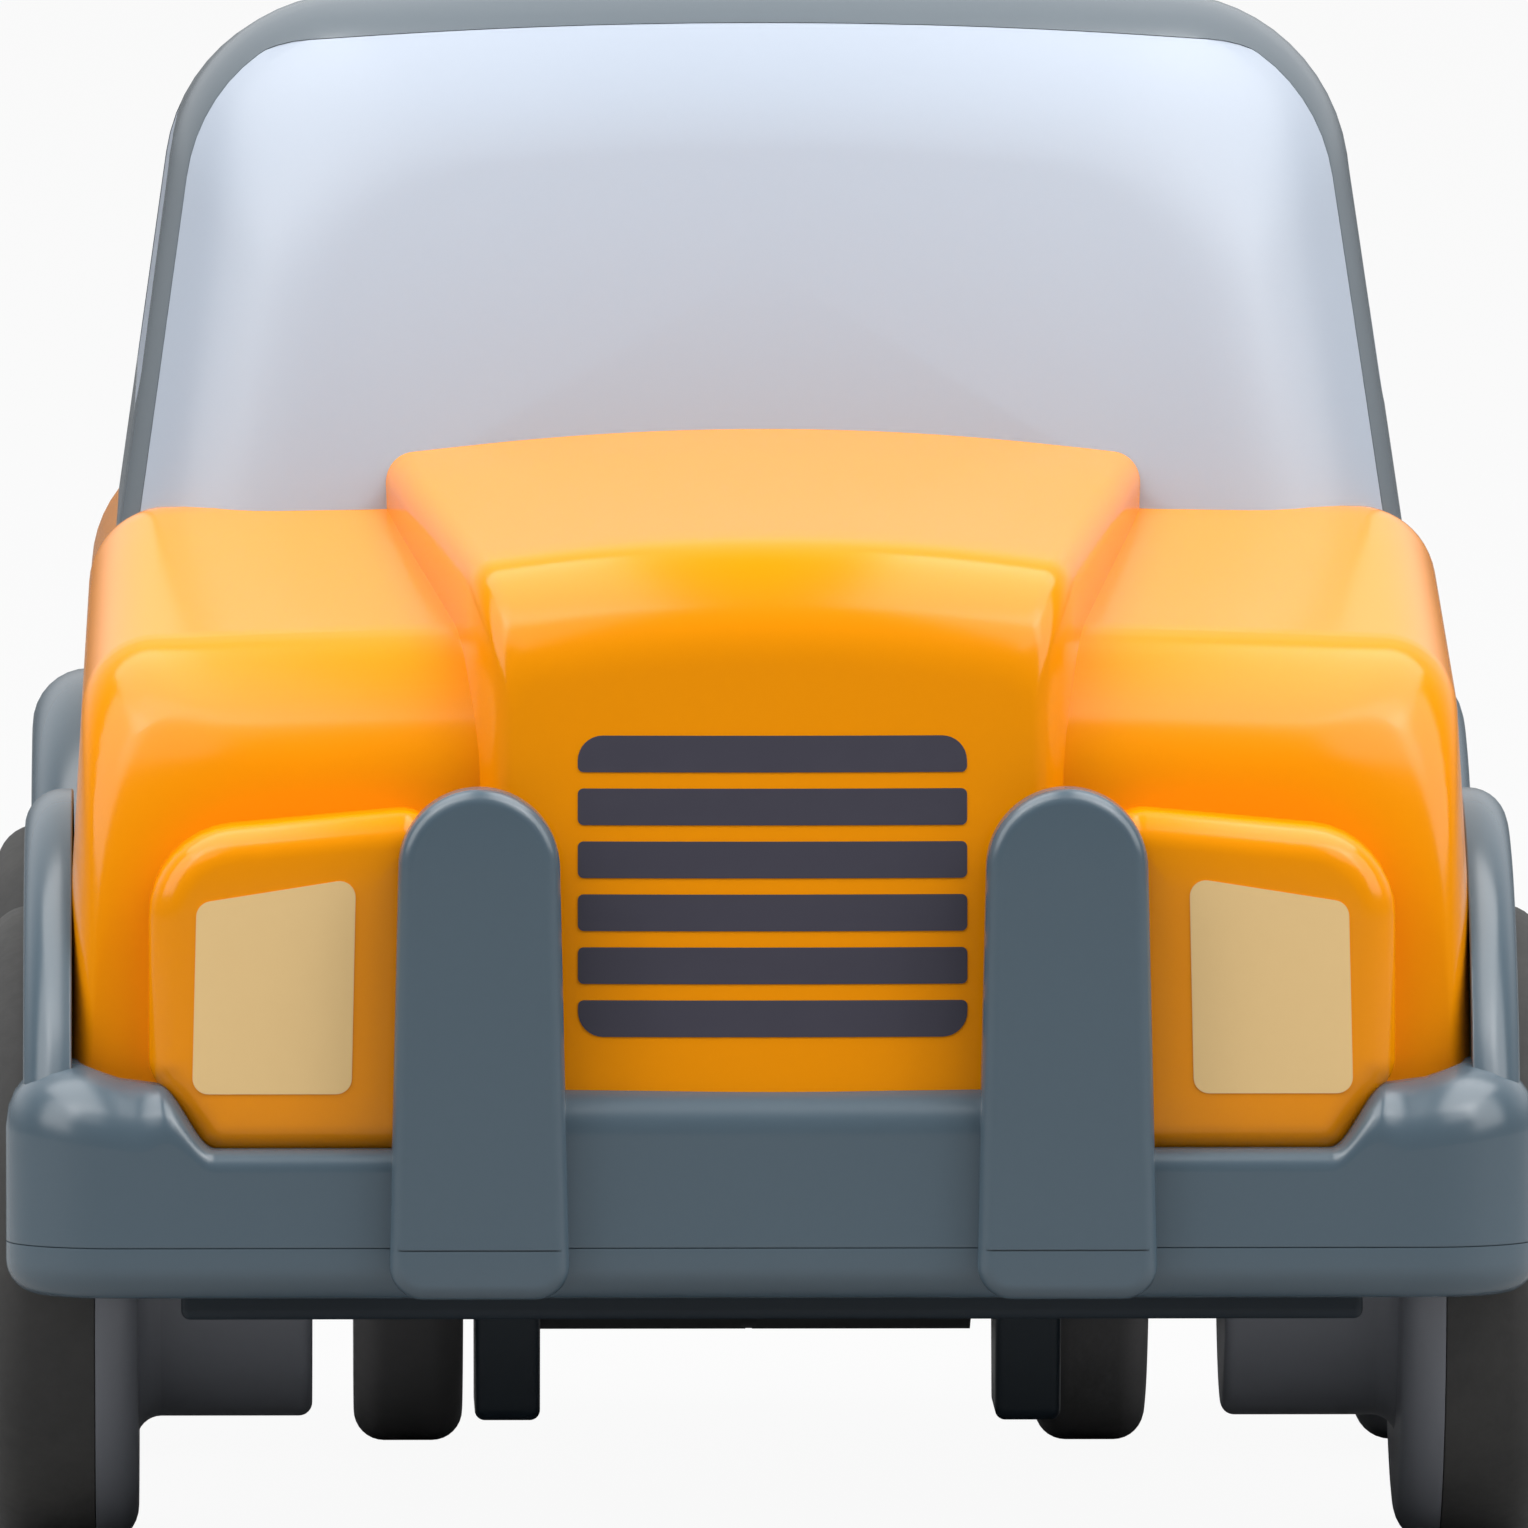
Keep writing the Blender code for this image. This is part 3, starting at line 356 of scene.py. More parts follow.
def rubber_band(name, colour, dusty):
    """Soft rubber: matte, with dust in the pores and fine moulding lines round the tread."""
    paint = Paint(name)
    pores = paint.noise(1900.0, 4.0)
    dust = paint.noise(220.0, 5.0)
    lines = paint.noise(900.0, 2.0, (1.0, 0.05, 0.05))
    share = paint.node("ValToRGB", {"stops": ((0.42, (0, 0, 0, 1)), (0.75, (1, 1, 1, 1)))}, {0: dust})
    return paint.finish(
        Base_Color=paint.blend(share, colour, dusty),
        Roughness=pores * 0.2 + 0.68,
        Normal=paint.bump(pores * 0.6 + lines * 0.4, 0.35, 0.0001))


def turned_steel(name, colour, dark):
    """Bright steel with turning lines round the X axis and faint oil stains."""
    paint = Paint(name)
    lines = paint.noise(3000.0, 3.0, (1.0, 0.02, 0.02))
    stains = paint.noise(240.0, 4.0)
    paint.shader.inputs["Metallic"].default_value = 1.0
    return paint.finish(
        Base_Color=paint.blend(stains, dark, colour),
        Roughness=lines * 0.2 + 0.2,
        Normal=paint.bump(lines, 0.15, 0.00005))


def printed_ink(name, colour, thin):
    """Pad-printed ink: slightly uneven cover and a satin sheen."""
    paint = Paint(name)
    cover = paint.noise(1400.0, 3.0)
    drift = paint.noise(90.0, 2.0)
    return paint.finish(
        Base_Color=paint.blend(cover * 0.4 + drift * 0.6, thin, colour),
        Roughness=cover * 0.15 + 0.38,
        Normal=paint.bump(cover, 0.1, 0.00003))


FINISHES = {
    "orange": moulded_plastic("orange_gloss", (0.92, 0.305, 0.0003), (0.89, 0.293, 0.0003),
                              0.17, 0.04, 0.03, 0.34),
    "roof_grey": moulded_plastic("roof_grey_gloss", (0.13, 0.157, 0.18), (0.118, 0.143, 0.164),
                                 0.24, 0.06, 0.04),
    # Pale blue-grey: the panes' own grey made paler by a painted reflection of the bright overhead light.
    "glazing": moulded_plastic("glazing_painted_reflection", (0.415, 0.467, 0.55), (0.397, 0.448, 0.53), 0.33, 0.06, 0.03),
    "slate": moulded_plastic("slate_satin", (0.081, 0.123, 0.158), (0.073, 0.11, 0.142),
                             0.26, 0.04, 0.05, 0.75),
    "wheel": moulded_plastic("wheel_satin", (0.215, 0.226, 0.256), (0.195, 0.204, 0.23), 0.42, 0.1, 0.06),
    "black": moulded_plastic("case_black", (0.018, 0.018, 0.02), (0.012, 0.012, 0.013), 0.45, 0.1, 0.12),
    # A darker copy of the slate: painted shade for the brackets and the rib in the shadow under the car.
    "painted_shade_slate": moulded_plastic("slate_painted_shade_dark", (0.016, 0.026, 0.036), (0.013, 0.021, 0.03),
                                 0.4, 0.1, 0.1, 0.3),
    "gear": moulded_plastic("gear_natural", (0.72, 0.71, 0.67), (0.66, 0.64, 0.58), 0.4, 0.1, 0.08),
    "rubber": rubber_band("tyre_rubber", (0.05, 0.049, 0.048), (0.066, 0.064, 0.061)),
    # The tyres' rubber made lighter: painted light standing in for fill light on the rollers under the car.
    "roller": rubber_band("roller_rubber_painted_light", (0.2, 0.196, 0.2), (0.225, 0.22, 0.225)),
    "steel": turned_steel("steel_turned", (0.66, 0.67, 0.68), (0.52, 0.53, 0.54)),
}
LAMP_INK = printed_ink("lamp_ink", (0.89, 0.62, 0.28), (0.855, 0.585, 0.26))
GRILLE_INK = printed_ink("grille_ink", (0.05, 0.0475, 0.07), (0.045, 0.0425, 0.0625))


def mesh_object(name, points, faces):
    mesh = bpy.data.meshes.new(name)
    mesh.from_pydata((np.asarray(points) * MM).tolist(), [], faces)
    bm = bmesh.new()
    bm.from_mesh(mesh)
    bmesh.ops.remove_doubles(bm, verts=bm.verts, dist=1e-7)
    bmesh.ops.dissolve_degenerate(bm, edges=bm.edges, dist=1e-7)
    bmesh.ops.recalc_face_normals(bm, faces=bm.faces)
    bm.to_mesh(mesh)
    bm.free()
    made = bpy.data.objects.new(name, mesh)
    bpy.context.collection.objects.link(made)
    return made


def surface(name, grid, ring=True, path=False, caps=True):
    """The quads between neighbours of a grid of points: rows along a path, columns round a ring.

    With ring each row closes on itself, with path the last row joins the first, and with caps the
    first and last rows are closed by a fan to their mean point.
    """
    grid = np.asarray(grid, float)
    rows, columns = grid.shape[:2]
    number = np.arange(rows * columns).reshape(rows, columns)
    if ring:
        number = np.concatenate([number, number[:, :1]], axis=1)
    if path:
        number = np.concatenate([number, number[:1]], axis=0)
    faces = np.stack([number[:-1, :-1], number[:-1, 1:], number[1:, 1:], number[1:, :-1]], axis=-1)
    faces = faces.reshape(-1, 4).tolist()
    points = grid.reshape(-1, 3)
    if caps and not path:
        for row in (0, -1):
            centre = len(points)
            points = np.vstack([points, grid[row].mean(axis=0)])
            edge = number[row]
            fan = np.stack([edge[:-1], edge[1:], np.full(len(edge) - 1, centre)], axis=-1)
            faces += fan.tolist()
    return mesh_object(name, points, faces)


def dress(piece, finish, body="car", nodes=(), crease=40.0):
    """Gives a finished piece its material, its smooth shading, its body and what it stands for."""
    piece.data.materials.clear()
    piece.data.materials.append(FINISHES.get(finish) or finish)
    piece.data.shade_smooth()
    piece.data.set_sharp_from_angle(angle=math.radians(crease))
    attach(piece, body)
    if nodes:
        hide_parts(*nodes)
    return piece


def carve(piece, operation, *tools):
    """The piece after exact cuts or joins with other closed forms, which are then removed."""
    for tool in tools:
        step = piece.modifiers.new(tool.name, "BOOLEAN")
        step.operation = operation
        step.solver = "EXACT"
        step.object = tool
    shape = piece.evaluated_get(bpy.context.evaluated_depsgraph_get())
    mesh = bpy.data.meshes.new_from_object(shape)
    piece.modifiers.clear()
    piece.data = mesh
    for tool in tools:
        bpy.data.objects.remove(tool, do_unlink=True)
    return piece


def rounded(corners, radii, steps=8):
    """A convex outline whose corners are arcs of the given radii, in the order of the corners."""
    corners = np.asarray(corners, float)
    share = np.linspace(0.0, 1.0, steps + 1)[:, None]
    arcs = []
    for i, corner in enumerate(corners):
        back = corners[i - 1] - corner
        ahead = corners[(i + 1) % len(corners)] - corner
        back /= np.linalg.norm(back)
        ahead /= np.linalg.norm(ahead)
        half = math.acos(np.clip(back @ ahead, -1, 1)) / 2
        middle = (back + ahead) / np.linalg.norm(back + ahead)
        centre = corner + middle * radii[i] / math.sin(half)
        start = corner + back * radii[i] / math.tan(half) - centre
        end = corner + ahead * radii[i] / math.tan(half) - centre
        sweep = math.pi - 2 * half
        blend = start * np.sin((1 - share) * sweep) + end * np.sin(share * sweep)
        arcs.append(centre + blend / math.sin(sweep))
    return np.concatenate(arcs)


def inset(outline, distance):
    """A counter-clockwise outline moved inwards along its corners' mean normals."""
    edge = np.roll(outline, -1, axis=0) - outline
    edge /= np.maximum(np.linalg.norm(edge, axis=1), 1e-9)[:, None]
    inward = np.stack([-edge[:, 1], edge[:, 0]], axis=1)
    mean = inward + np.roll(inward, 1, axis=0)
    scale = 2 / np.maximum((mean**2).sum(axis=1), 0.5)
    return outline + mean * (scale * distance)[:, None]


def quarter(steps):
    """A quarter round from an end face outwards: shares (along the axis, inwards) of its radius."""
    angle = np.linspace(0.0, math.pi / 2, steps + 1)
    return 1 - np.cos(angle), 1 - np.sin(angle)


def section(half, lean, z_base, z_low, z_top, shoulder, crown, side=10, arc=12, top=14):
    """Arch-shaped (x, z) rows, one for each station: leaning sides, round shoulders, a crowned top.

    half is the half width at z_base and z_low is where the side starts. The side is the line that
    leans in, the shoulder an arc tangent to it, and the top a parabola that falls by crown.
    """
    columns = (np.asarray(value, float).reshape(-1, 1) for value in (half, z_low, z_top, shoulder))
    half, z_low, z_top, shoulder = columns
    end = math.pi / 2 - np.arctan(2 * crown / (half - shoulder))
    centre_z = z_top - crown - shoulder * np.sin(end)
    centre_x = half + ((z_base - centre_z) * math.sin(lean) - shoulder) / math.cos(lean)
    angle = lean + np.linspace(0.0, 1.0, arc + 1) * (end - lean)
    arc_x, arc_z = centre_x + shoulder * np.cos(angle), centre_z + shoulder * np.sin(angle)
    side_z = z_low + np.linspace(0.0, 1.0, side + 1)[:-1] * (arc_z[:, :1] - z_low)
    side_x = half - (side_z - z_base) * math.tan(lean)
    top_x = arc_x[:, -1:] * np.linspace(1.0, 0.0, top + 1)[1:]
    top_z = z_top - crown * (top_x / arc_x[:, -1:]) ** 2
    x = np.concatenate([side_x, arc_x, top_x], axis=1)
    z = np.concatenate([side_z, arc_z, top_z], axis=1)
    return np.concatenate([x, -x[:, -2::-1]], axis=1), np.concatenate([z, z[:, -2::-1]], axis=1)


def body_hull():
    """The orange lower body as one skin over (station, arch), with its lower edge lifted over the wheels.

    The nose and tail are quarter rounds in plan whose sections also sink; each end face is the end
    section drawn together towards the middle of its lower edge. The face falls back with the square
    of x, less and less towards the screen. A wall thickness goes inwards.
    """
    along = quarter(14)[0]
    arch_angle = np.linspace(0.0, math.pi, 41)
    stations = np.concatenate([
        BODY_FRONT_Y + NOSE_DEPTH * along, BODY_REAR_Y - NOSE_DEPTH * along,
        np.linspace(BODY_FRONT_Y + NOSE_DEPTH, BODY_REAR_Y - NOSE_DEPTH, 40),
        FRONT_AXLE_Y - BODY_ARCH * np.cos(arch_angle), REAR_AXLE_Y - BODY_ARCH * np.cos(arch_angle)])
    y = np.unique(np.round(np.clip(stations, BODY_FRONT_Y, BODY_REAR_Y), 4))
    into_end = np.clip(NOSE_DEPTH - np.minimum(y - BODY_FRONT_Y, BODY_REAR_Y - y), 0.0, NOSE_DEPTH)
    pull = 1 - np.sqrt(1 - (into_end / NOSE_DEPTH) ** 2)
    top = np.interp(y, (BODY_FRONT_Y, COWL_Y, BODY_REAR_Y), (BONNET_FRONT_Z, BODY_TOP_Z, BODY_TOP_Z))
    reach = np.minimum(abs(y - FRONT_AXLE_Y), abs(y - REAR_AXLE_Y))
    arch = AXLE_Z + np.sqrt(np.maximum(BODY_ARCH**2 - reach**2, 0.0))
    shoulder = np.interp(y, (COWL_Y, 0.0), (BODY_SHOULDER, REAR_SHOULDER)) + NOSE_SHOULDER * pull
    x, z = section(BODY_HALF - NOSE_RADIUS * pull, BODY_LEAN, BODY_BOTTOM_Z, np.maximum(arch, BODY_BOTTOM_Z),
                   top - NOSE_DROP * pull, shoulder, BODY_CROWN)
    rake = np.interp(y, (BODY_FRONT_Y, COWL_Y, BODY_REAR_Y), (NOSE_RAKE, 0.0, -NOSE_RAKE / 2))[:, None]
    skin = np.stack([x, y[:, None] + rake * (z - BODY_BOTTOM_Z), z], axis=2)
    shrink = np.linspace(0.0, 1.0, 9)[:-1, None, None]
    ends = []
    for row in (skin[0], skin[-1]):
        foot = np.array([0.0, row[0, 1], row[0, 2]])
        ends.append(foot + (row - foot) * shrink)
    grid = np.concatenate([ends[0], skin, ends[1][::-1]])
    fade = np.clip(1 - (grid[..., 1] - BODY_FRONT_Y) / BULGE_REACH, 0.0, 1.0)
    grid[..., 1] += NOSE_BULGE * fade * (grid[..., 0] / BODY_HALF) ** 2
    hull = surface("body_hull", grid, ring=False, caps=False)
    middle = hull.data.polygons[len(hull.data.polygons) // 2]
    if middle.normal.z * middle.center.z < 0:
        hull.data.flip_normals()
    wall = hull.modifiers.new("wall", "SOLIDIFY")
    wall.thickness = BODY_WALL * MM
    wall.offset = -1.0
    return dress(hull, "orange", nodes=("body_shell",))


def dome_front(x, z):
    """Where the grille panel's face is, as Y: raked back with height and bulged across its width."""
    return DOME_FRONT_Y + NOSE_RAKE * (z - DOME_BOTTOM_Z) + DOME_BULGE * (x / DOME_FRONT_HALF) ** 2


def raised_bonnet():
    """The bonnet's raised middle as arches that widen and climb to the screen, over (station, arch).

    Its front edge is a quarter round, its face is drawn together towards the foot and bulges forward.
    """
    along, share = quarter(12)
    back = np.concatenate([DOME_NOSE * along, np.linspace(DOME_NOSE, DOME_REAR_Y - DOME_FRONT_Y, 20)[1:]])
    share = np.concatenate([share, np.zeros(19)])
    half = DOME_FRONT_HALF + DOME_HALF_GROWTH * back - DOME_EDGE * share
    top = DOME_FRONT_TOP_Z + DOME_SLOPE * (back - DOME_EDGE) - DOME_NOSE * share
    low = np.full(len(back), DOME_BOTTOM_Z)
    x, z = section(half, 0.0, DOME_BOTTOM_Z, low, top, DOME_EDGE, DOME_CROWN, side=16)
    fade = np.clip(1 - back / DOME_BULGE_REACH, 0.0, 1.0)[:, None]
    y = back[:, None] + DOME_FRONT_Y + (dome_front(x, z) - DOME_FRONT_Y) * fade
    skin = np.stack([x, y, z], axis=2)
    shrink = np.linspace(0.0, 1.0, 50)[1:-1, None]
    face_x, face_z = skin[0, :, 0] * shrink, DOME_BOTTOM_Z + (skin[0, :, 2] - DOME_BOTTOM_Z) * shrink
    face = np.stack([face_x, dome_front(face_x, face_z), face_z], axis=2)
    return dress(surface("raised_bonnet", np.concatenate([face, skin])), "orange")


def pillow(name, outline, front, back, edge, axis=1, both=False):
    """A plane outline carried along an axis, its front edge, or both, a quarter round of radius edge."""
    along, share = quarter(8)
    sense = 1.0 if back > front else -1.0
    rows = [np.insert(inset(outline, edge * inwards), axis, front + sense * edge * depth, axis=1)
            for depth, inwards in zip(along, share)]
    if both:
        rows += [np.insert(inset(outline, edge * inwards), axis, back - sense * edge * depth, axis=1)
                 for depth, inwards in zip(along[::-1], share[::-1])]
    else:
        rows.append(np.insert(outline, axis, back, axis=1))
    face = rows[0]
    centre = face.mean(axis=0)
    inner = [centre + (face - centre) * size for size in (0.05, 0.35, 0.7)]
    return surface(name, np.stack(inner + rows))


def mirrored(outline, side):
    """An (x, z) outline on the right, or its mirror image on the left with the same sense."""
    return outline if side > 0 else outline[::-1] * (-1, 1)


def lamp_block(hand, side):
    outline = mirrored(rounded(LAMP_CORNERS, LAMP_ROUNDS), side)
    block = pillow(f"lamp_block_{hand}", outline, LAMP_FRONT_Y, BODY_FRONT_Y + NOSE_DEPTH, LAMP_EDGE)
    return dress(block, "orange")


def print_on(name, outline, face, ink):
    """A film of ink: an (x, z) outline drawn together in rings, laid on the face y = face(x, z)."""
    centre = outline.mean(axis=0)
    rings = centre + (outline - centre) * np.linspace(0.02, 1.0, 8)[:, None, None]
    x, z = rings[..., 0], rings[..., 1]
    y = face(x, z)
    front = np.stack([x, y - INK, z], axis=2)
    rear = np.stack([x, y + INK, z], axis=2)
    return dress(surface(name, np.concatenate([front, rear[::-1]])), ink)


def evenly(outline, step):
    """A closed outline with points added along its sides, no more than a step apart."""
    closed = np.vstack([outline, outline[:1]])
    length = np.concatenate([[0.0], np.cumsum(np.linalg.norm(np.diff(closed, axis=0), axis=1))])
    at = np.unique(np.round(np.concatenate([length, np.arange(0.0, length[-1], step)]), 3))[:-1]
    return np.stack([np.interp(at, length, closed[:, 0]), np.interp(at, length, closed[:, 1])], axis=1)


def prints():
    for hand, side in SIDES:
        outline = mirrored(rounded(PATCH_CORNERS, [PATCH_ROUND] * 4), side)
        print_on(f"lamp_print_{hand}", outline, lambda x, z: np.full_like(x, LAMP_FRONT_Y), LAMP_INK)
    for bar in range(BAR_COUNT):
        top = GRILLE_TOP_Z - bar * BAR_PITCH
        foot = top - BAR_HEIGHT
        corners = ((-BAR_HALF, foot), (BAR_HALF, foot), (BAR_HALF, top), (-BAR_HALF, top))
        low = GRILLE_ROUND if bar == BAR_COUNT - 1 else BAR_ROUND
        high = GRILLE_ROUND if bar == 0 else BAR_ROUND
        outline = rounded(corners, (low, low, high, high))
        print_on(f"grille_bar_{bar + 1}", evenly(outline, BAR_STEP), dome_front, GRILLE_INK)


def cab_form(name, wall, z_low):
    """The roof's closed form, a wall further in: arches from the screen to the back over (station, arch).

    Both end faces rake and bulge, and pass into the roof by a quarter round.
    """
    half = CAB_HALF - wall + (CAB_BOTTOM_Z - z_low) * math.tan(CAB_LEAN)
    middle_z = (CAB_BOTTOM_Z + CAB_TOP_Z) / 2
    along, share = quarter(10)
    size = np.linspace(0.06, 1.0, 16)[:-1, None]

    def end(front):
        edge = max((SCREEN_EDGE if front else CAB_EDGE) - wall, LEAST_EDGE)
        top = CAB_TOP_Z - wall - edge * share - (0.0 if front else ROOF_FALL)
        x, z = section(half - edge * share, CAB_LEAN, z_low, np.full(len(share), z_low), top,
                       CAB_SHOULDER - wall, CAB_CROWN, side=14)
        x = np.concatenate([x[0] * size, x])
        z = np.concatenate([middle_z + (z[0] - middle_z) * size, z])
        inwards = edge * np.concatenate([np.zeros(len(size)), along])[:, None] + wall
        height, across = z - CAB_BOTTOM_Z, (x / CAB_HALF) ** 2
        if front:
            rise = height / (CAB_TOP_Z - CAB_BOTTOM_Z)
            y = CAB_FRONT_Y + SCREEN_RAKE * height + SCREEN_BULGE * across + inwards
            y += SCREEN_ROUND * rise * (rise - 1)
        else:
            y = CAB_REAR_Y - BACK_RAKE * height - BACK_BULGE * across - inwards
        return np.stack([x, y, z], axis=2)

    front, rear = end(True), end(False)
    blend = np.linspace(0.0, 1.0, 14)[1:-1, None, None]
    roof = front[-1] + (rear[-1] - front[-1]) * blend
    return surface(name, np.concatenate([front, roof, rear[::-1]]))


def window_plugs(shrink):
    """What is cut from the roof for its windows, or, shrunk by a gap, what fills them."""
    tag = "fill" if shrink else "cut"
    plugs = []
    for end in ("screen", "back"):
        front = end == "screen"
        z_low = CAB_BOTTOM_Z - SCREEN_SINK if front else BACK_WINDOW_LOW_Z + shrink
        half = CAB_HALF - SCREEN_RIM_SIDE - shrink + (CAB_BOTTOM_Z - z_low) * math.tan(CAB_LEAN)
        top = CAB_TOP_Z - SCREEN_RIM_TOP - shrink - (0.0 if front else ROOF_FALL)
        x, z = section(half, CAB_LEAN, z_low, z_low, top, CAB_SHOULDER - SCREEN_RIM_TOP, CAB_CROWN)
        x, z = (x if front else x * BACK_WINDOW_SHARE)[0], z[0]
        height, across = z - CAB_BOTTOM_Z, (x / CAB_HALF) ** 2
        rise = height / (CAB_TOP_Z - CAB_BOTTOM_Z)
        screen = CAB_FRONT_Y + SCREEN_RAKE * height + SCREEN_BULGE * across + SCREEN_ROUND * rise * (rise - 1)
        back = CAB_REAR_Y - BACK_RAKE * height - BACK_BULGE * across
        steps = np.array(PLUG_STEPS) * (1 if front else -1)
        rows = [np.stack([x, (screen if front else back) + step, z], axis=1) for step in steps]
        plugs.append(surface(f"{end}_{tag}", np.stack(rows)))
    outline = inset(rounded(SIDE_WINDOW, SIDE_WINDOW_ROUNDS), shrink)
    rows = [np.insert(outline, 0, x, axis=1) for x in (-PLUG_HALF, 0.0, PLUG_HALF)]
    plugs.append(surface(f"side_{tag}", np.stack(rows)))
    return plugs


def roof_and_windows():
    hollow_z = CAB_BOTTOM_Z - HOLLOW_DROP
    roof = cab_form("roof", 0.0, CAB_FOOT_Z)
    carve(roof, "DIFFERENCE", cab_form("roof_hollow", ROOF_WALL, hollow_z), *window_plugs(0.0))
    dress(roof, "roof_grey", nodes=("canopy_frame",), crease=30.0)
    for name, plug in zip(("windscreen", "rear_window", "side_windows"), window_plugs(SEAM)):
        pane = carve(cab_form(name, SEAM, CAB_FOOT_Z), "INTERSECT", plug)
        carve(pane, "DIFFERENCE", cab_form(f"{name}_hollow", ROOF_WALL + GLASS_WALL, hollow_z))
        # The panes' pale finish is partly a painted reflection.
        dress(pane, "glazing", nodes=("window_insert",) if name == "windscreen" else (), crease=30.0)


def soft_step(value, low, high):
    share = np.clip((value - low) / (high - low), 0.0, 1.0)
    return share * share * (3 - 2 * share)


def bar_profile(depth, low, high, edge_low, edge_high, steps=6):
    """Rows of (inwards, z) points round a bar: a rounded rectangle for each pair of heights."""
    quarter_turn = np.linspace(0.0, math.pi / 2, steps + 1)
    sin, cos = np.sin(quarter_turn), np.cos(quarter_turn)
    high, edge_high = high[:, None], edge_high[:, None]
    ones = np.ones_like(high)
    inner = BUMPER_BACK_EDGE
    foot, head = low + edge_low, high - edge_high
    share = np.array(BUMPER_ROWS)
    n = np.concatenate([edge_low * (1 - sin) * ones, 0 * share * ones, edge_high * (1 - cos),
                        (depth - inner * (1 - sin)) * ones, (depth - inner * (1 - cos)) * ones], axis=1)
    z = np.concatenate([(low + edge_low * (1 - cos)) * ones, foot + (head - foot) * share,
                        high - edge_high * (1 - sin), high - inner * (1 - cos),
                        low + inner * (1 - sin) * ones], axis=1)
    return n, z


def wrapped_bar(name, front_y, rear_y, reach, low, top_of, depth, edge_low, edge_of):
    """A bar carried round one end of the car's plan, over (path, profile).

    The path goes from one side over the two rounded corners to the other side. top_of(x) gives the
    bar's height along it, and edge_of(x) the radius of its upper outer edge.
    """
    sign = 1.0 if rear_y > front_y else -1.0
    half, corner = FRAME_HALF, FRAME_CORNER
    turn = np.linspace(0.0, math.pi / 2, 25)
    straight = np.linspace(half - corner, corner - half, 400)
    nx = np.concatenate([[1.0], np.cos(turn), np.zeros(400), -np.sin(turn), [-1.0]])
    ny = -np.concatenate([[0.0], np.sin(turn), np.ones(400), np.cos(turn), [0.0]]) * sign
    x = np.concatenate([[half], half - corner + corner * np.cos(turn), straight,
                        corner - half - corner * np.sin(turn), [-half]])
    from_end = np.concatenate([[reach], corner * (1 - np.sin(turn)), np.zeros(400),
                               corner * (1 - np.cos(turn)), [reach]])
    y = front_y + from_end * sign
    n, z = bar_profile(depth, low, top_of(abs(x)), edge_low, edge_of(abs(x)))
    grid = np.stack([x[:, None] - nx[:, None] * n, y[:, None] - ny[:, None] * n, z], axis=2)
    return surface(name, grid)


def bumper_top(x):
    """The front bumper's height over |x|: level between the posts, low under the lamps, horns outside."""
    inner = BUMPER_TOP_Z + (NOTCH_Z - BUMPER_TOP_Z) * soft_step(x, *NOTCH_X)
    tilt = HORN_TILT * np.maximum(x - HORN_X[1], 0.0)
    return inner + (HORN_TOP_Z - NOTCH_Z) * soft_step(x, *HORN_X) + tilt


def bumper_edge(x):
    """The radius of the front bumper's upper edge over |x|: finer under the lamps, rounder at the horns."""
    finer = BUMPER_EDGE - NOTCH_EDGE_LOSS * soft_step(x, *NOTCH_X)
    return finer + HORN_EDGE_GAIN * soft_step(x, *HORN_EDGE_X)


def bumpers():
    front = wrapped_bar("bumper_front", FRAME_FRONT_Y, FRAME_REAR_Y, BUMPER_REACH, FRAME_BOTTOM_Z,
                        bumper_top, BUMPER_DEPTH, BUMPER_FOOT_EDGE, bumper_edge)
    dress(front, "slate", nodes=("fender_frame",))
    rear = wrapped_bar("bumper_rear", FRAME_REAR_Y, FRAME_FRONT_Y, BUMPER_REACH, FRAME_BOTTOM_Z,
                       lambda x: np.full_like(x, HORN_TOP_Z), BUMPER_DEPTH, BUMPER_FOOT_EDGE,
                       lambda x: np.full_like(x, BUMPER_EDGE))
    dress(rear, "slate")


def block(name, low, high):
    """A plain box, used only as a cutter."""
    (x0, y0, z0), (x1, y1, z1) = low, high
    outline = np.array(((x0, y0), (x1, y0), (x1, y1), (x0, y1)))
    return surface(name, np.stack([np.insert(outline, 2, z, axis=1) for z in (z0, z1)]))


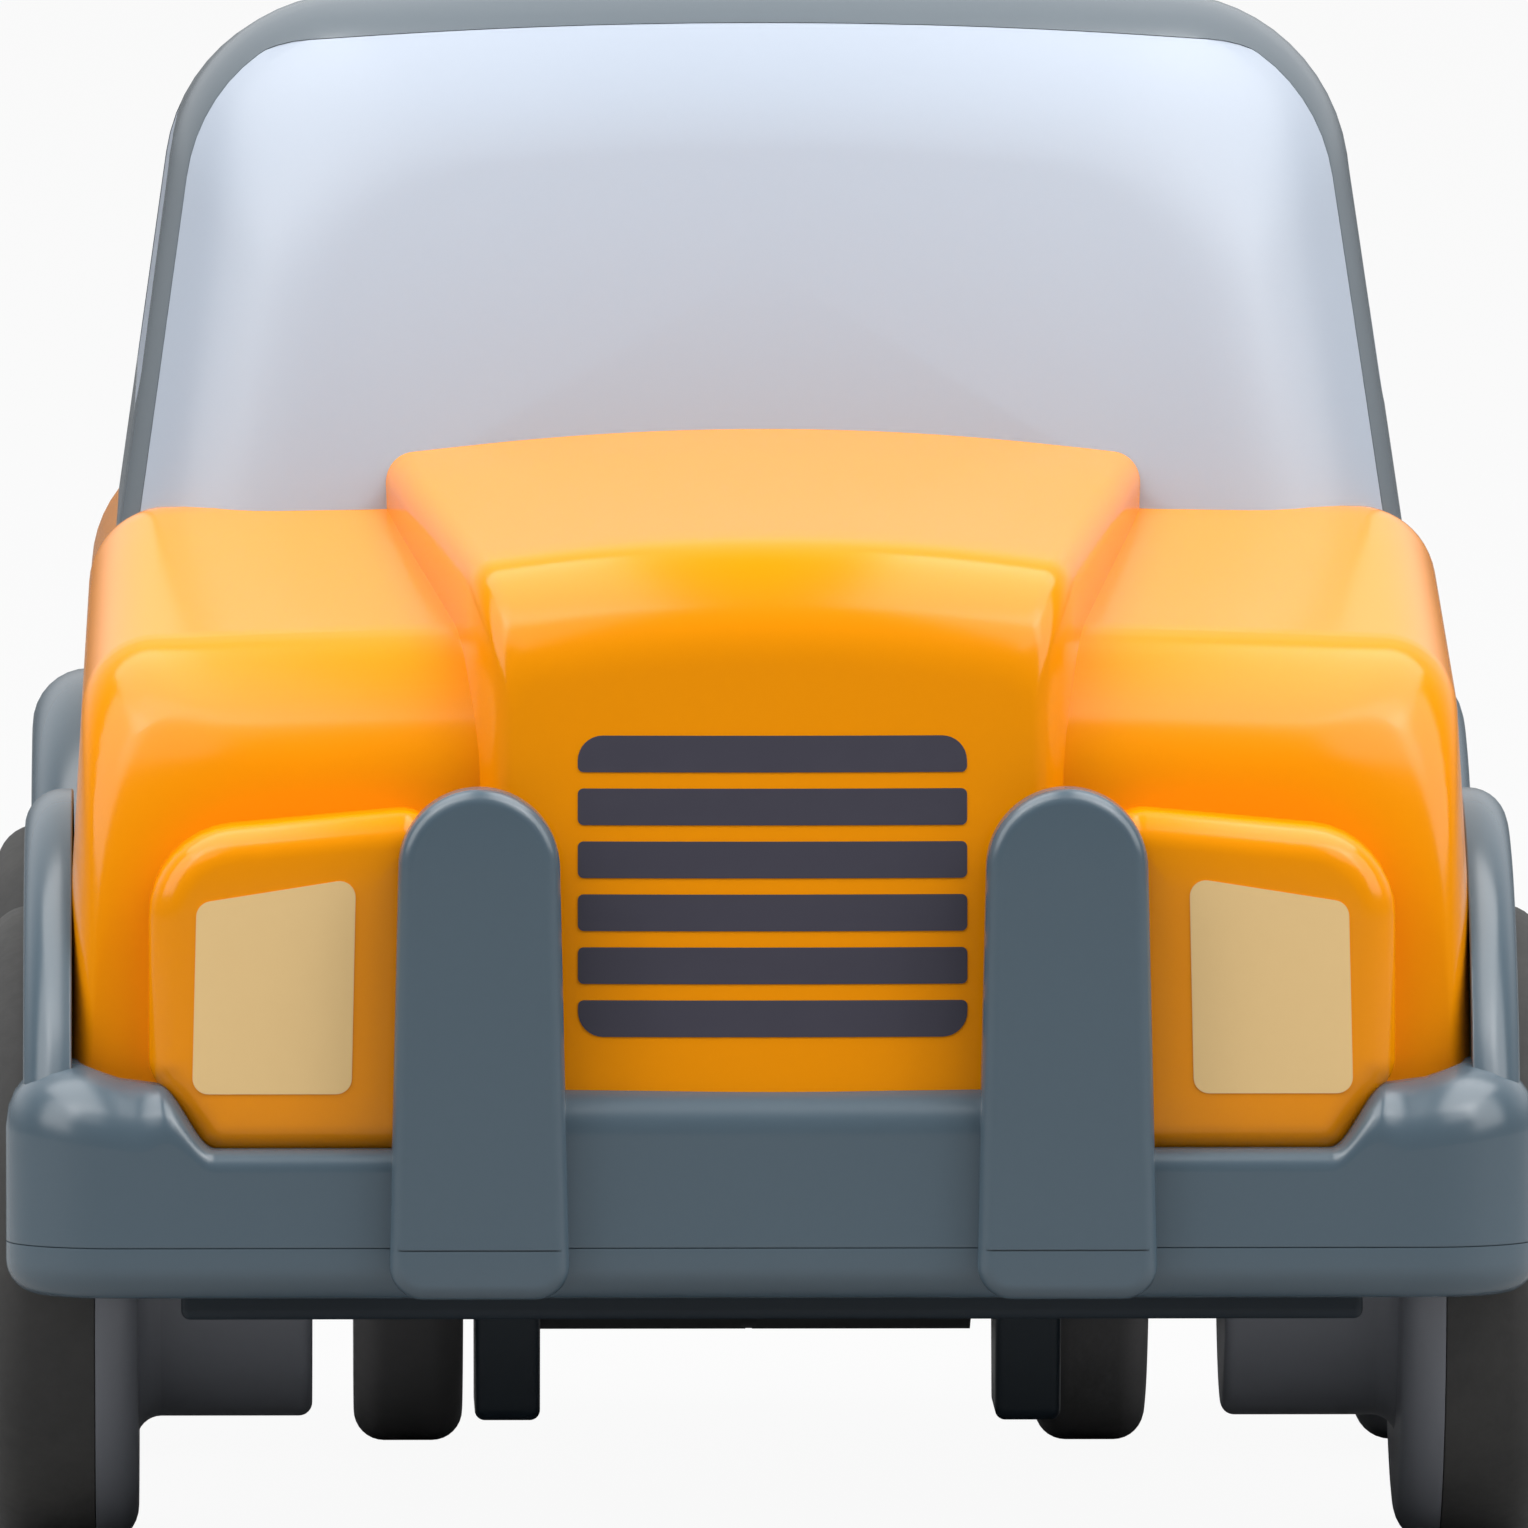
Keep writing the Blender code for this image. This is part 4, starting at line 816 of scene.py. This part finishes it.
def chassis():
    """The lower pan with its rounded lip, cut for wheels, drive and screws, and the plates for the axles.

    The pan is its plan outline carried up, with a quarter round below.
    """
    corners = ((FRAME_HALF, FRAME_FRONT_Y), (FRAME_HALF, FRAME_REAR_Y),
               (-FRAME_HALF, FRAME_REAR_Y), (-FRAME_HALF, FRAME_FRONT_Y))
    plan = rounded(corners, [FRAME_CORNER] * 4, 16)
    pan = pillow("chassis_pan", plan, LIP_BOTTOM_Z, LIP_TOP_Z, LIP_EDGE, axis=2)
    low, high = LIP_BOTTOM_Z - CUT_MARGIN, LIP_TOP_Z + CUT_MARGIN

    def well(name, x_ends, y_ends):
        (x0, x1), (y0, y1) = sorted(x_ends), y_ends
        return block(name, (x0, y0, low), (x1, y1, high))

    def about(axle_y, reach):
        return axle_y - reach, axle_y + reach

    wells = [well("motor_well", (-MOTOR_WELL_HALF, MOTOR_WELL_HALF), MOTOR_WELL_Y),
             well("axle_slot", (-SLOT_HALF, SLOT_HALF), about(FRONT_AXLE_Y, SLOT_REACH))]
    for hand, side in SIDES:
        for end, axle_y in AXLES:
            for kind, near, far, reach in WHEEL_WELLS:
                wells.append(well(f"{kind}_well_{end}_{hand}", (side * near, side * far),
                                  about(axle_y, reach)))
        near, far = ROLLER_WELL_X
        wells.append(well(f"roller_well_{hand}", (side * near, side * far),
                          about(REAR_AXLE_Y, ROLLER_WELL_REACH)))
    for name in frame["nodes"]:
        if "_screw_" in name:
            (x0, y0, _), (x1, y1, _) = (np.array(corner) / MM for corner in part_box(name))
            seat = rounded(((x0, y0), (x1, y0), (x1, y1), (x0, y1)), [(x1 - x0) / 2 * SEAT_ROUND] * 4)
            middle = seat.mean(axis=0)
            grown = middle + (seat - middle) * SEAT_GROWTH
            rows = [np.insert(grown, 2, z, axis=1) for z in (low, LIP_BOTTOM_Z + SEAT_DEPTH)]
            wells.append(surface(f"{name}_seat", np.stack(rows)))
    carve(pan, "DIFFERENCE", *wells)
    dress(pan, "slate", nodes=("chassis_base",), crease=30.0)
    rib = rounded(RIB_CORNERS, [RIB_ROUND] * 4)
    # The rib's dark finish is painted shade: it stands for the shadowed band under the front lip.
    dress(pillow("front_rib", rib, -RIB_HALF, RIB_HALF, RIB_EDGE, axis=0, both=True), "painted_shade_slate")
    for name, near, far, axle_y, corners, edge, finish in PLATES:
        outline = rounded(np.array(corners) + (axle_y, 0.0), [edge * PLATE_ROUND] * len(corners))
        for hand, side in SIDES:
            plate = pillow(f"{name}_{hand}", outline, side * near, side * far, edge, axis=0, both=True)
            dress(plate, finish)


def posts():
    """The bull bar's two posts: an outline with a round head and a round-cornered foot on the lower lip.

    A fine groove goes on with the parting line of bumper and lip.
    """
    turn = np.linspace(0.0, math.pi, 33)
    top, foot = POST_TOP_Z - POST_TOP_HALF, LIP_BOTTOM_Z + 0.1
    rise = np.linspace(0.0, 1.0, 17)[:-1]
    flank = POST_BOTTOM_HALF + (POST_TOP_HALF - POST_BOTTOM_HALF) * rise
    flank_z = foot + POST_FOOT_ROUND + (top - foot - POST_FOOT_ROUND) * rise
    corner = np.linspace(0.0, math.pi / 2, 9)[:-1]
    corner_x = POST_BOTTOM_HALF - POST_FOOT_ROUND * (1 - np.sin(corner))
    corner_z = foot + POST_FOOT_ROUND * (1 - np.cos(corner))
    half, z = np.concatenate([corner_x, flank]), np.concatenate([corner_z, flank_z])
    x = POST_X + np.concatenate([half, POST_TOP_HALF * np.cos(turn), -half[::-1]])
    z = np.concatenate([z, top + POST_TOP_HALF * np.sin(turn), z[::-1]])
    for hand, side in SIDES:
        outline = mirrored(np.stack([x, z], axis=1), side)
        post = pillow(f"post_{hand}", outline, POST_FRONT_Y, POST_BACK_Y, POST_EDGE)
        groove = block(f"groove_{hand}",
                       (-GROOVE_HALF, POST_FRONT_Y - CUT_MARGIN, FRAME_BOTTOM_Z - GROOVE_LOW),
                       (GROOVE_HALF, POST_FRONT_Y + GROOVE_DEPTH, FRAME_BOTTOM_Z + GROOVE_HIGH))
        dress(carve(post, "DIFFERENCE", groove), "slate")


def turned(name, profile, centre, turn=None):
    """A closed profile of (x, radius) points turned about the X axis through centre (y, z)."""
    whole = turn is None
    turn = np.linspace(0.0, 2 * math.pi, 129)[:-1] if whole else turn
    x, radius = np.asarray(profile, float).T
    grid = np.stack([np.broadcast_to(x, (len(turn), len(x))),
                     centre[0] + np.cos(turn)[:, None] * radius,
                     centre[1] + np.sin(turn)[:, None] * radius], axis=2)
    return surface(name, grid, path=whole)


def flares():
    """The flare over each wheel: a lip and an inner liner turned over the upper half."""
    for end, axle_y in AXLES:
        radius, root, edge = FLARES[end]
        lip = rounded(((root, ARCH_RADIUS), (FLARE_HALF, ARCH_RADIUS), (FLARE_HALF, radius), (root, radius)),
                      (0.1, 0.6, edge, 0.1))
        wall_x, edge_x, inside = LINER_X + LINER_WALL, FLARE_HALF - 0.7, ARCH_RADIUS + 0.1
        liner = ((LINER_X, LINER_RADIUS), (LINER_X, DRUM_HOLE_RADIUS), (wall_x, DRUM_HOLE_RADIUS),
                 (wall_x, inside), (edge_x, inside), (edge_x, LINER_RADIUS))
        start = math.asin((FRAME_BOTTOM_Z - AXLE_Z) / LINER_RADIUS)
        turn = np.linspace(start, math.pi - start, 97)
        for hand, side in SIDES:
            centre = (axle_y, AXLE_Z)
            dress(turned(f"flare_{end}_{hand}", lip * (side, 1), centre, turn), "slate")
            dress(turned(f"liner_{end}_{hand}", np.array(liner) * (side, 1), centre, turn), "slate")


def sills():
    """The straight sill between the wheels on each side: a rounded bar along Y."""
    low_y, high_y = FRONT_AXLE_Y + ARCH_RADIUS, REAR_AXLE_Y - ARCH_RADIUS
    inner, outer = FRAME_INNER_HALF - 1.5, FLARE_HALF - 0.2
    outline = rounded(((inner, FRAME_BOTTOM_Z + 0.01), (outer, FRAME_BOTTOM_Z + 0.01), (outer, SILL_TOP_Z),
                       (inner, SILL_TOP_Z)), (0.2, 0.4, 1.1, 0.2))
    stations = np.linspace(low_y + 1.0, high_y - 1.0, 9)
    for hand, side in SIDES:
        rows = [np.insert(mirrored(outline, side), 1, y, axis=1) for y in stations]
        dress(surface(f"sill_{hand}", np.stack(rows)), "slate")


def wheels():
    """Each wheel with its stepped drum, its rubber band and its cap, as turned profiles."""
    flange = TYRE_INNER_X - 0.1
    drum_end = WHEEL_INNER_X + 1.0
    drum = rounded(((DRUM_INNER_X, AXLE_BORE), (DRUM_INNER_X, DRUM_RADIUS), (drum_end, DRUM_RADIUS),
                    (drum_end, AXLE_BORE)), (0.1, 0.6, 0.1, 0.1))
    disc = rounded(((WHEEL_INNER_X, AXLE_BORE), (WHEEL_INNER_X, TYRE_RADIUS), (flange, TYRE_RADIUS),
                    (flange, AXLE_BORE)), (0.1, 1.7, 0.05, 0.1))
    turn = np.linspace(0.0, math.pi / 2, 9)
    root_x, root_radius = WHEEL_INNER_X + 0.1, DRUM_RADIUS - 0.3
    fillet = np.stack([root_x - FILLET * (1 - np.sin(turn)),
                       DRUM_RADIUS + FILLET * (1 - np.cos(turn))], axis=1)
    fillet = np.vstack([fillet, [(root_x, root_radius), (fillet[0, 0], root_radius)]])
    face = rounded(((flange, TYRE_SEAT_RADIUS), (WHEEL_FACE_X, TYRE_SEAT_RADIUS),
                    (WHEEL_FACE_X, FACE_RIM_RADIUS), (FACE_DISH_X, FACE_DISH_RADIUS),
                    (FACE_DISH_X, AXLE_BORE), (flange, AXLE_BORE)), (0.1, 0.6, 0.4, 0.5, 0.1, 0.1))
    seam = flange + 0.02
    band = rounded(((seam, TYRE_SEAT_RADIUS + 0.05), (seam, TYRE_RADIUS), (TYRE_OUTER_X, TYRE_RADIUS),
                    (TYRE_OUTER_X, TYRE_SEAT_RADIUS + 0.05)), (0.05, 0.08, 1.9, 0.3))
    cap = rounded(((CAP_BACK_X, CAP_CENTRE), (CAP_BACK_X, CAP_RADIUS), (CAP_EDGE_X, CAP_RADIUS),
                   (CAP_FRONT_X, CAP_CENTRE)), (0.02, 0.2, 0.9, 0.02))
    for end, axle_y in AXLES:
        body = f"{end}_wheels"
        for hand, side in SIDES:
            tag, centre, flip = f"{end}_{hand}", (axle_y, AXLE_Z), np.array((side, 1))
            dress(turned(f"wheel_disc_{tag}", disc * flip, centre), "wheel", body, (f"wheel_{tag}",))
            dress(turned(f"wheel_drum_{tag}", drum * flip, centre), "wheel", body)
            dress(turned(f"wheel_fillet_{tag}", fillet * flip, centre), "wheel", body)
            dress(turned(f"wheel_face_{tag}", face * flip, centre), "wheel", body)
            dress(turned(f"tyre_band_{tag}", band * flip, centre), "rubber", body, (f"tyre_{tag}",))
            dress(turned(f"cap_{tag}", cap * flip, centre), "slate", body, (f"hub_cap_{tag}",))


def rollers():
    """The driven rollers on the rear axle: a plain core and a round-shouldered rubber band."""
    core = rounded(((ROLLER_INNER_X, AXLE_BORE), (ROLLER_INNER_X, ROLLER_CORE_RADIUS),
                    (ROLLER_OUTER_X, ROLLER_CORE_RADIUS), (ROLLER_OUTER_X, AXLE_BORE)), (0.1, 0.4, 0.4, 0.1))
    band = rounded(((ROLLER_INNER_X, ROLLER_CORE_RADIUS), (ROLLER_INNER_X, TYRE_RADIUS),
                    (ROLLER_OUTER_X, TYRE_RADIUS), (ROLLER_OUTER_X, ROLLER_CORE_RADIUS)),
                   (0.1, 1.4, 1.4, 0.1))
    centre = (REAR_AXLE_Y, AXLE_Z)
    for hand, side in SIDES:
        dress(turned(f"roller_{hand}", core * (side, 1), centre), "wheel", "rear_wheels",
              (f"roller_core_{hand}",))
        # The roller band's lighter rubber is painted light.
        dress(turned(f"roller_tyre_{hand}", band * (side, 1), centre), "roller", "rear_wheels",
              (f"roller_band_{hand}",))


def case_seam():
    """The tongue in the joint of the motor case's halves: a thin ring along their common outline.

    The outline is the hull of a circle about each shaft: in each direction the circle that reaches
    furthest gives the point.
    """
    turn = np.linspace(0.0, 2 * math.pi, 241)[:-1]
    facing = np.stack([np.cos(turn), np.sin(turn)], axis=1)
    shafts, radii = np.array(CASE_SHAFTS), np.array(CASE_RADII)
    furthest = np.argmax(facing @ shafts.T + radii, axis=1)
    outline = evenly(shafts[furthest] + facing * radii[furthest][:, None], 1.0)
    corners = ((TONGUE_OUT, -TONGUE_HALF), (TONGUE_OUT, TONGUE_HALF),
               (TONGUE_IN, TONGUE_HALF), (TONGUE_IN, -TONGUE_HALF))
    rows = [np.insert(inset(outline, depth), 0, x, axis=1) for depth, x in corners]
    dress(surface("case_seam", np.stack(rows), path=True), "black")


def carried_over():
    """The solids that keep their shape get the finish of their slot."""
    slots = {entry["node"]: entry["material_slot"] for entry in frame["record"]["subparts"]}
    for name, node in frame["nodes"].items():
        node.data.materials.clear()
        node.data.materials.append(FINISHES[slots[name]])


def camera_and_stage():
    """The photograph's view: a long lens straight in front, a little above the bonnet."""
    level = math.cos(VIEW_ELEVATION)
    away = np.array((math.sin(VIEW_AZIMUTH) * level, -math.cos(VIEW_AZIMUTH) * level,
                     math.sin(VIEW_ELEVATION)))
    lens = bpy.data.cameras.new("camera")
    lens.sensor_width = SENSOR
    lens.lens = SENSOR / 2 / math.tan(VIEW_FIELD / 2)
    lens.clip_end = 20.0
    camera = bpy.data.objects.new("camera", lens)
    camera.location = np.array(VIEW_AIM) * MM + away * VIEW_DISTANCE
    camera.rotation_euler = (math.pi / 2 - VIEW_ELEVATION, 0.0, VIEW_AZIMUTH)
    bpy.context.collection.objects.link(camera)
    bpy.context.scene.camera = camera
    bpy.context.scene.view_settings.view_transform = "Standard"

    corners = np.array(((-1, -1, 0), (1, -1, 0), (1, 1, 0), (-1, 1, 0))) * FLOOR_HALF
    floor = mesh_object("floor", corners / MM, [(0, 1, 2, 3)])
    paint = Paint("floor_pale")
    rays = paint.node("LightPath", output="Is Camera Ray")
    white = paint.node("Emission", inputs={"Color": (1, 1, 1, 1), "Strength": 1.0})
    paint.finish(Base_Color=(0.3, 0.3, 0.3, 1.0), Roughness=0.6)
    matte = Wire(paint, paint.shader.outputs[0])
    mixed = paint.node("MixShader", inputs={0: rays * FLOOR_WHITE, 1: matte, 2: white})
    paint.feed(paint.tree.nodes["Material Output"].inputs[0], mixed)
    floor.data.materials.append(paint.material)


def light():
    """A white studio: a backdrop that is bright behind the car, and soft lamps above, in front and beside."""
    world = bpy.data.worlds.new("studio")
    bpy.context.scene.world = world
    world.use_nodes = True
    tree = world.node_tree
    tree.nodes.clear()
    rays = tree.nodes.new("ShaderNodeLightPath")
    seen = tree.nodes.new("ShaderNodeMath")
    seen.operation = "MAXIMUM"
    tree.links.new(rays.outputs["Is Camera Ray"], seen.inputs[0])
    tree.links.new(rays.outputs["Is Transmission Ray"], seen.inputs[1])
    where = tree.nodes.new("ShaderNodeTexCoord")
    facing = tree.nodes.new("ShaderNodeSeparateXYZ")
    tree.links.new(where.outputs["Generated"], facing.inputs[0])
    both = tree.nodes.new("ShaderNodeMath")
    both.operation = "MULTIPLY"
    for slot, (axis, limits) in enumerate(BACKDROP_RISES):
        rise = tree.nodes.new("ShaderNodeMapRange")
        rise.interpolation_type = "SMOOTHSTEP"
        for socket, value in zip(("From Min", "From Max", "To Min", "To Max"), limits):
            rise.inputs[socket].default_value = value
        tree.links.new(facing.outputs[axis], rise.inputs["Value"])
        tree.links.new(rise.outputs[0], both.inputs[slot])
    level = tree.nodes.new("ShaderNodeMath")
    level.inputs[1].default_value = BACKDROP_BASE
    tree.links.new(both.outputs[0], level.inputs[0])
    dim = tree.nodes.new("ShaderNodeBackground")
    dim.inputs["Color"].default_value = (0.96, 0.98, 1.0, 1.0)
    tree.links.new(level.outputs[0], dim.inputs["Strength"])
    white = tree.nodes.new("ShaderNodeBackground")
    white.inputs["Color"].default_value = (1.0, 1.0, 1.0, 1.0)
    mix = tree.nodes.new("ShaderNodeMixShader")
    out = tree.nodes.new("ShaderNodeOutputWorld")
    tree.links.new(seen.outputs[0], mix.inputs[0])
    tree.links.new(dim.outputs[0], mix.inputs[1])
    tree.links.new(white.outputs[0], mix.inputs[2])
    tree.links.new(mix.outputs[0], out.inputs[0])
    for name, place, target, size, power in LAMPS:
        lamp = bpy.data.lights.new(name, "AREA")
        lamp.shape = "RECTANGLE"
        lamp.size, lamp.size_y = size
        lamp.energy = power
        made = bpy.data.objects.new(name, lamp)
        made.location = place
        gaze = np.array(target) - np.array(place)
        pitch = math.atan2(math.hypot(gaze[0], gaze[1]), -gaze[2])
        made.rotation_euler = (pitch, 0.0, math.atan2(-gaze[0], gaze[1]))
        bpy.context.collection.objects.link(made)


carried_over()
body_hull()
raised_bonnet()
for lamp_hand, lamp_side in SIDES:
    lamp_block(lamp_hand, lamp_side)
prints()
roof_and_windows()
bumpers()
chassis()
posts()
flares()
sills()
wheels()
rollers()
case_seam()
camera_and_stage()
light()
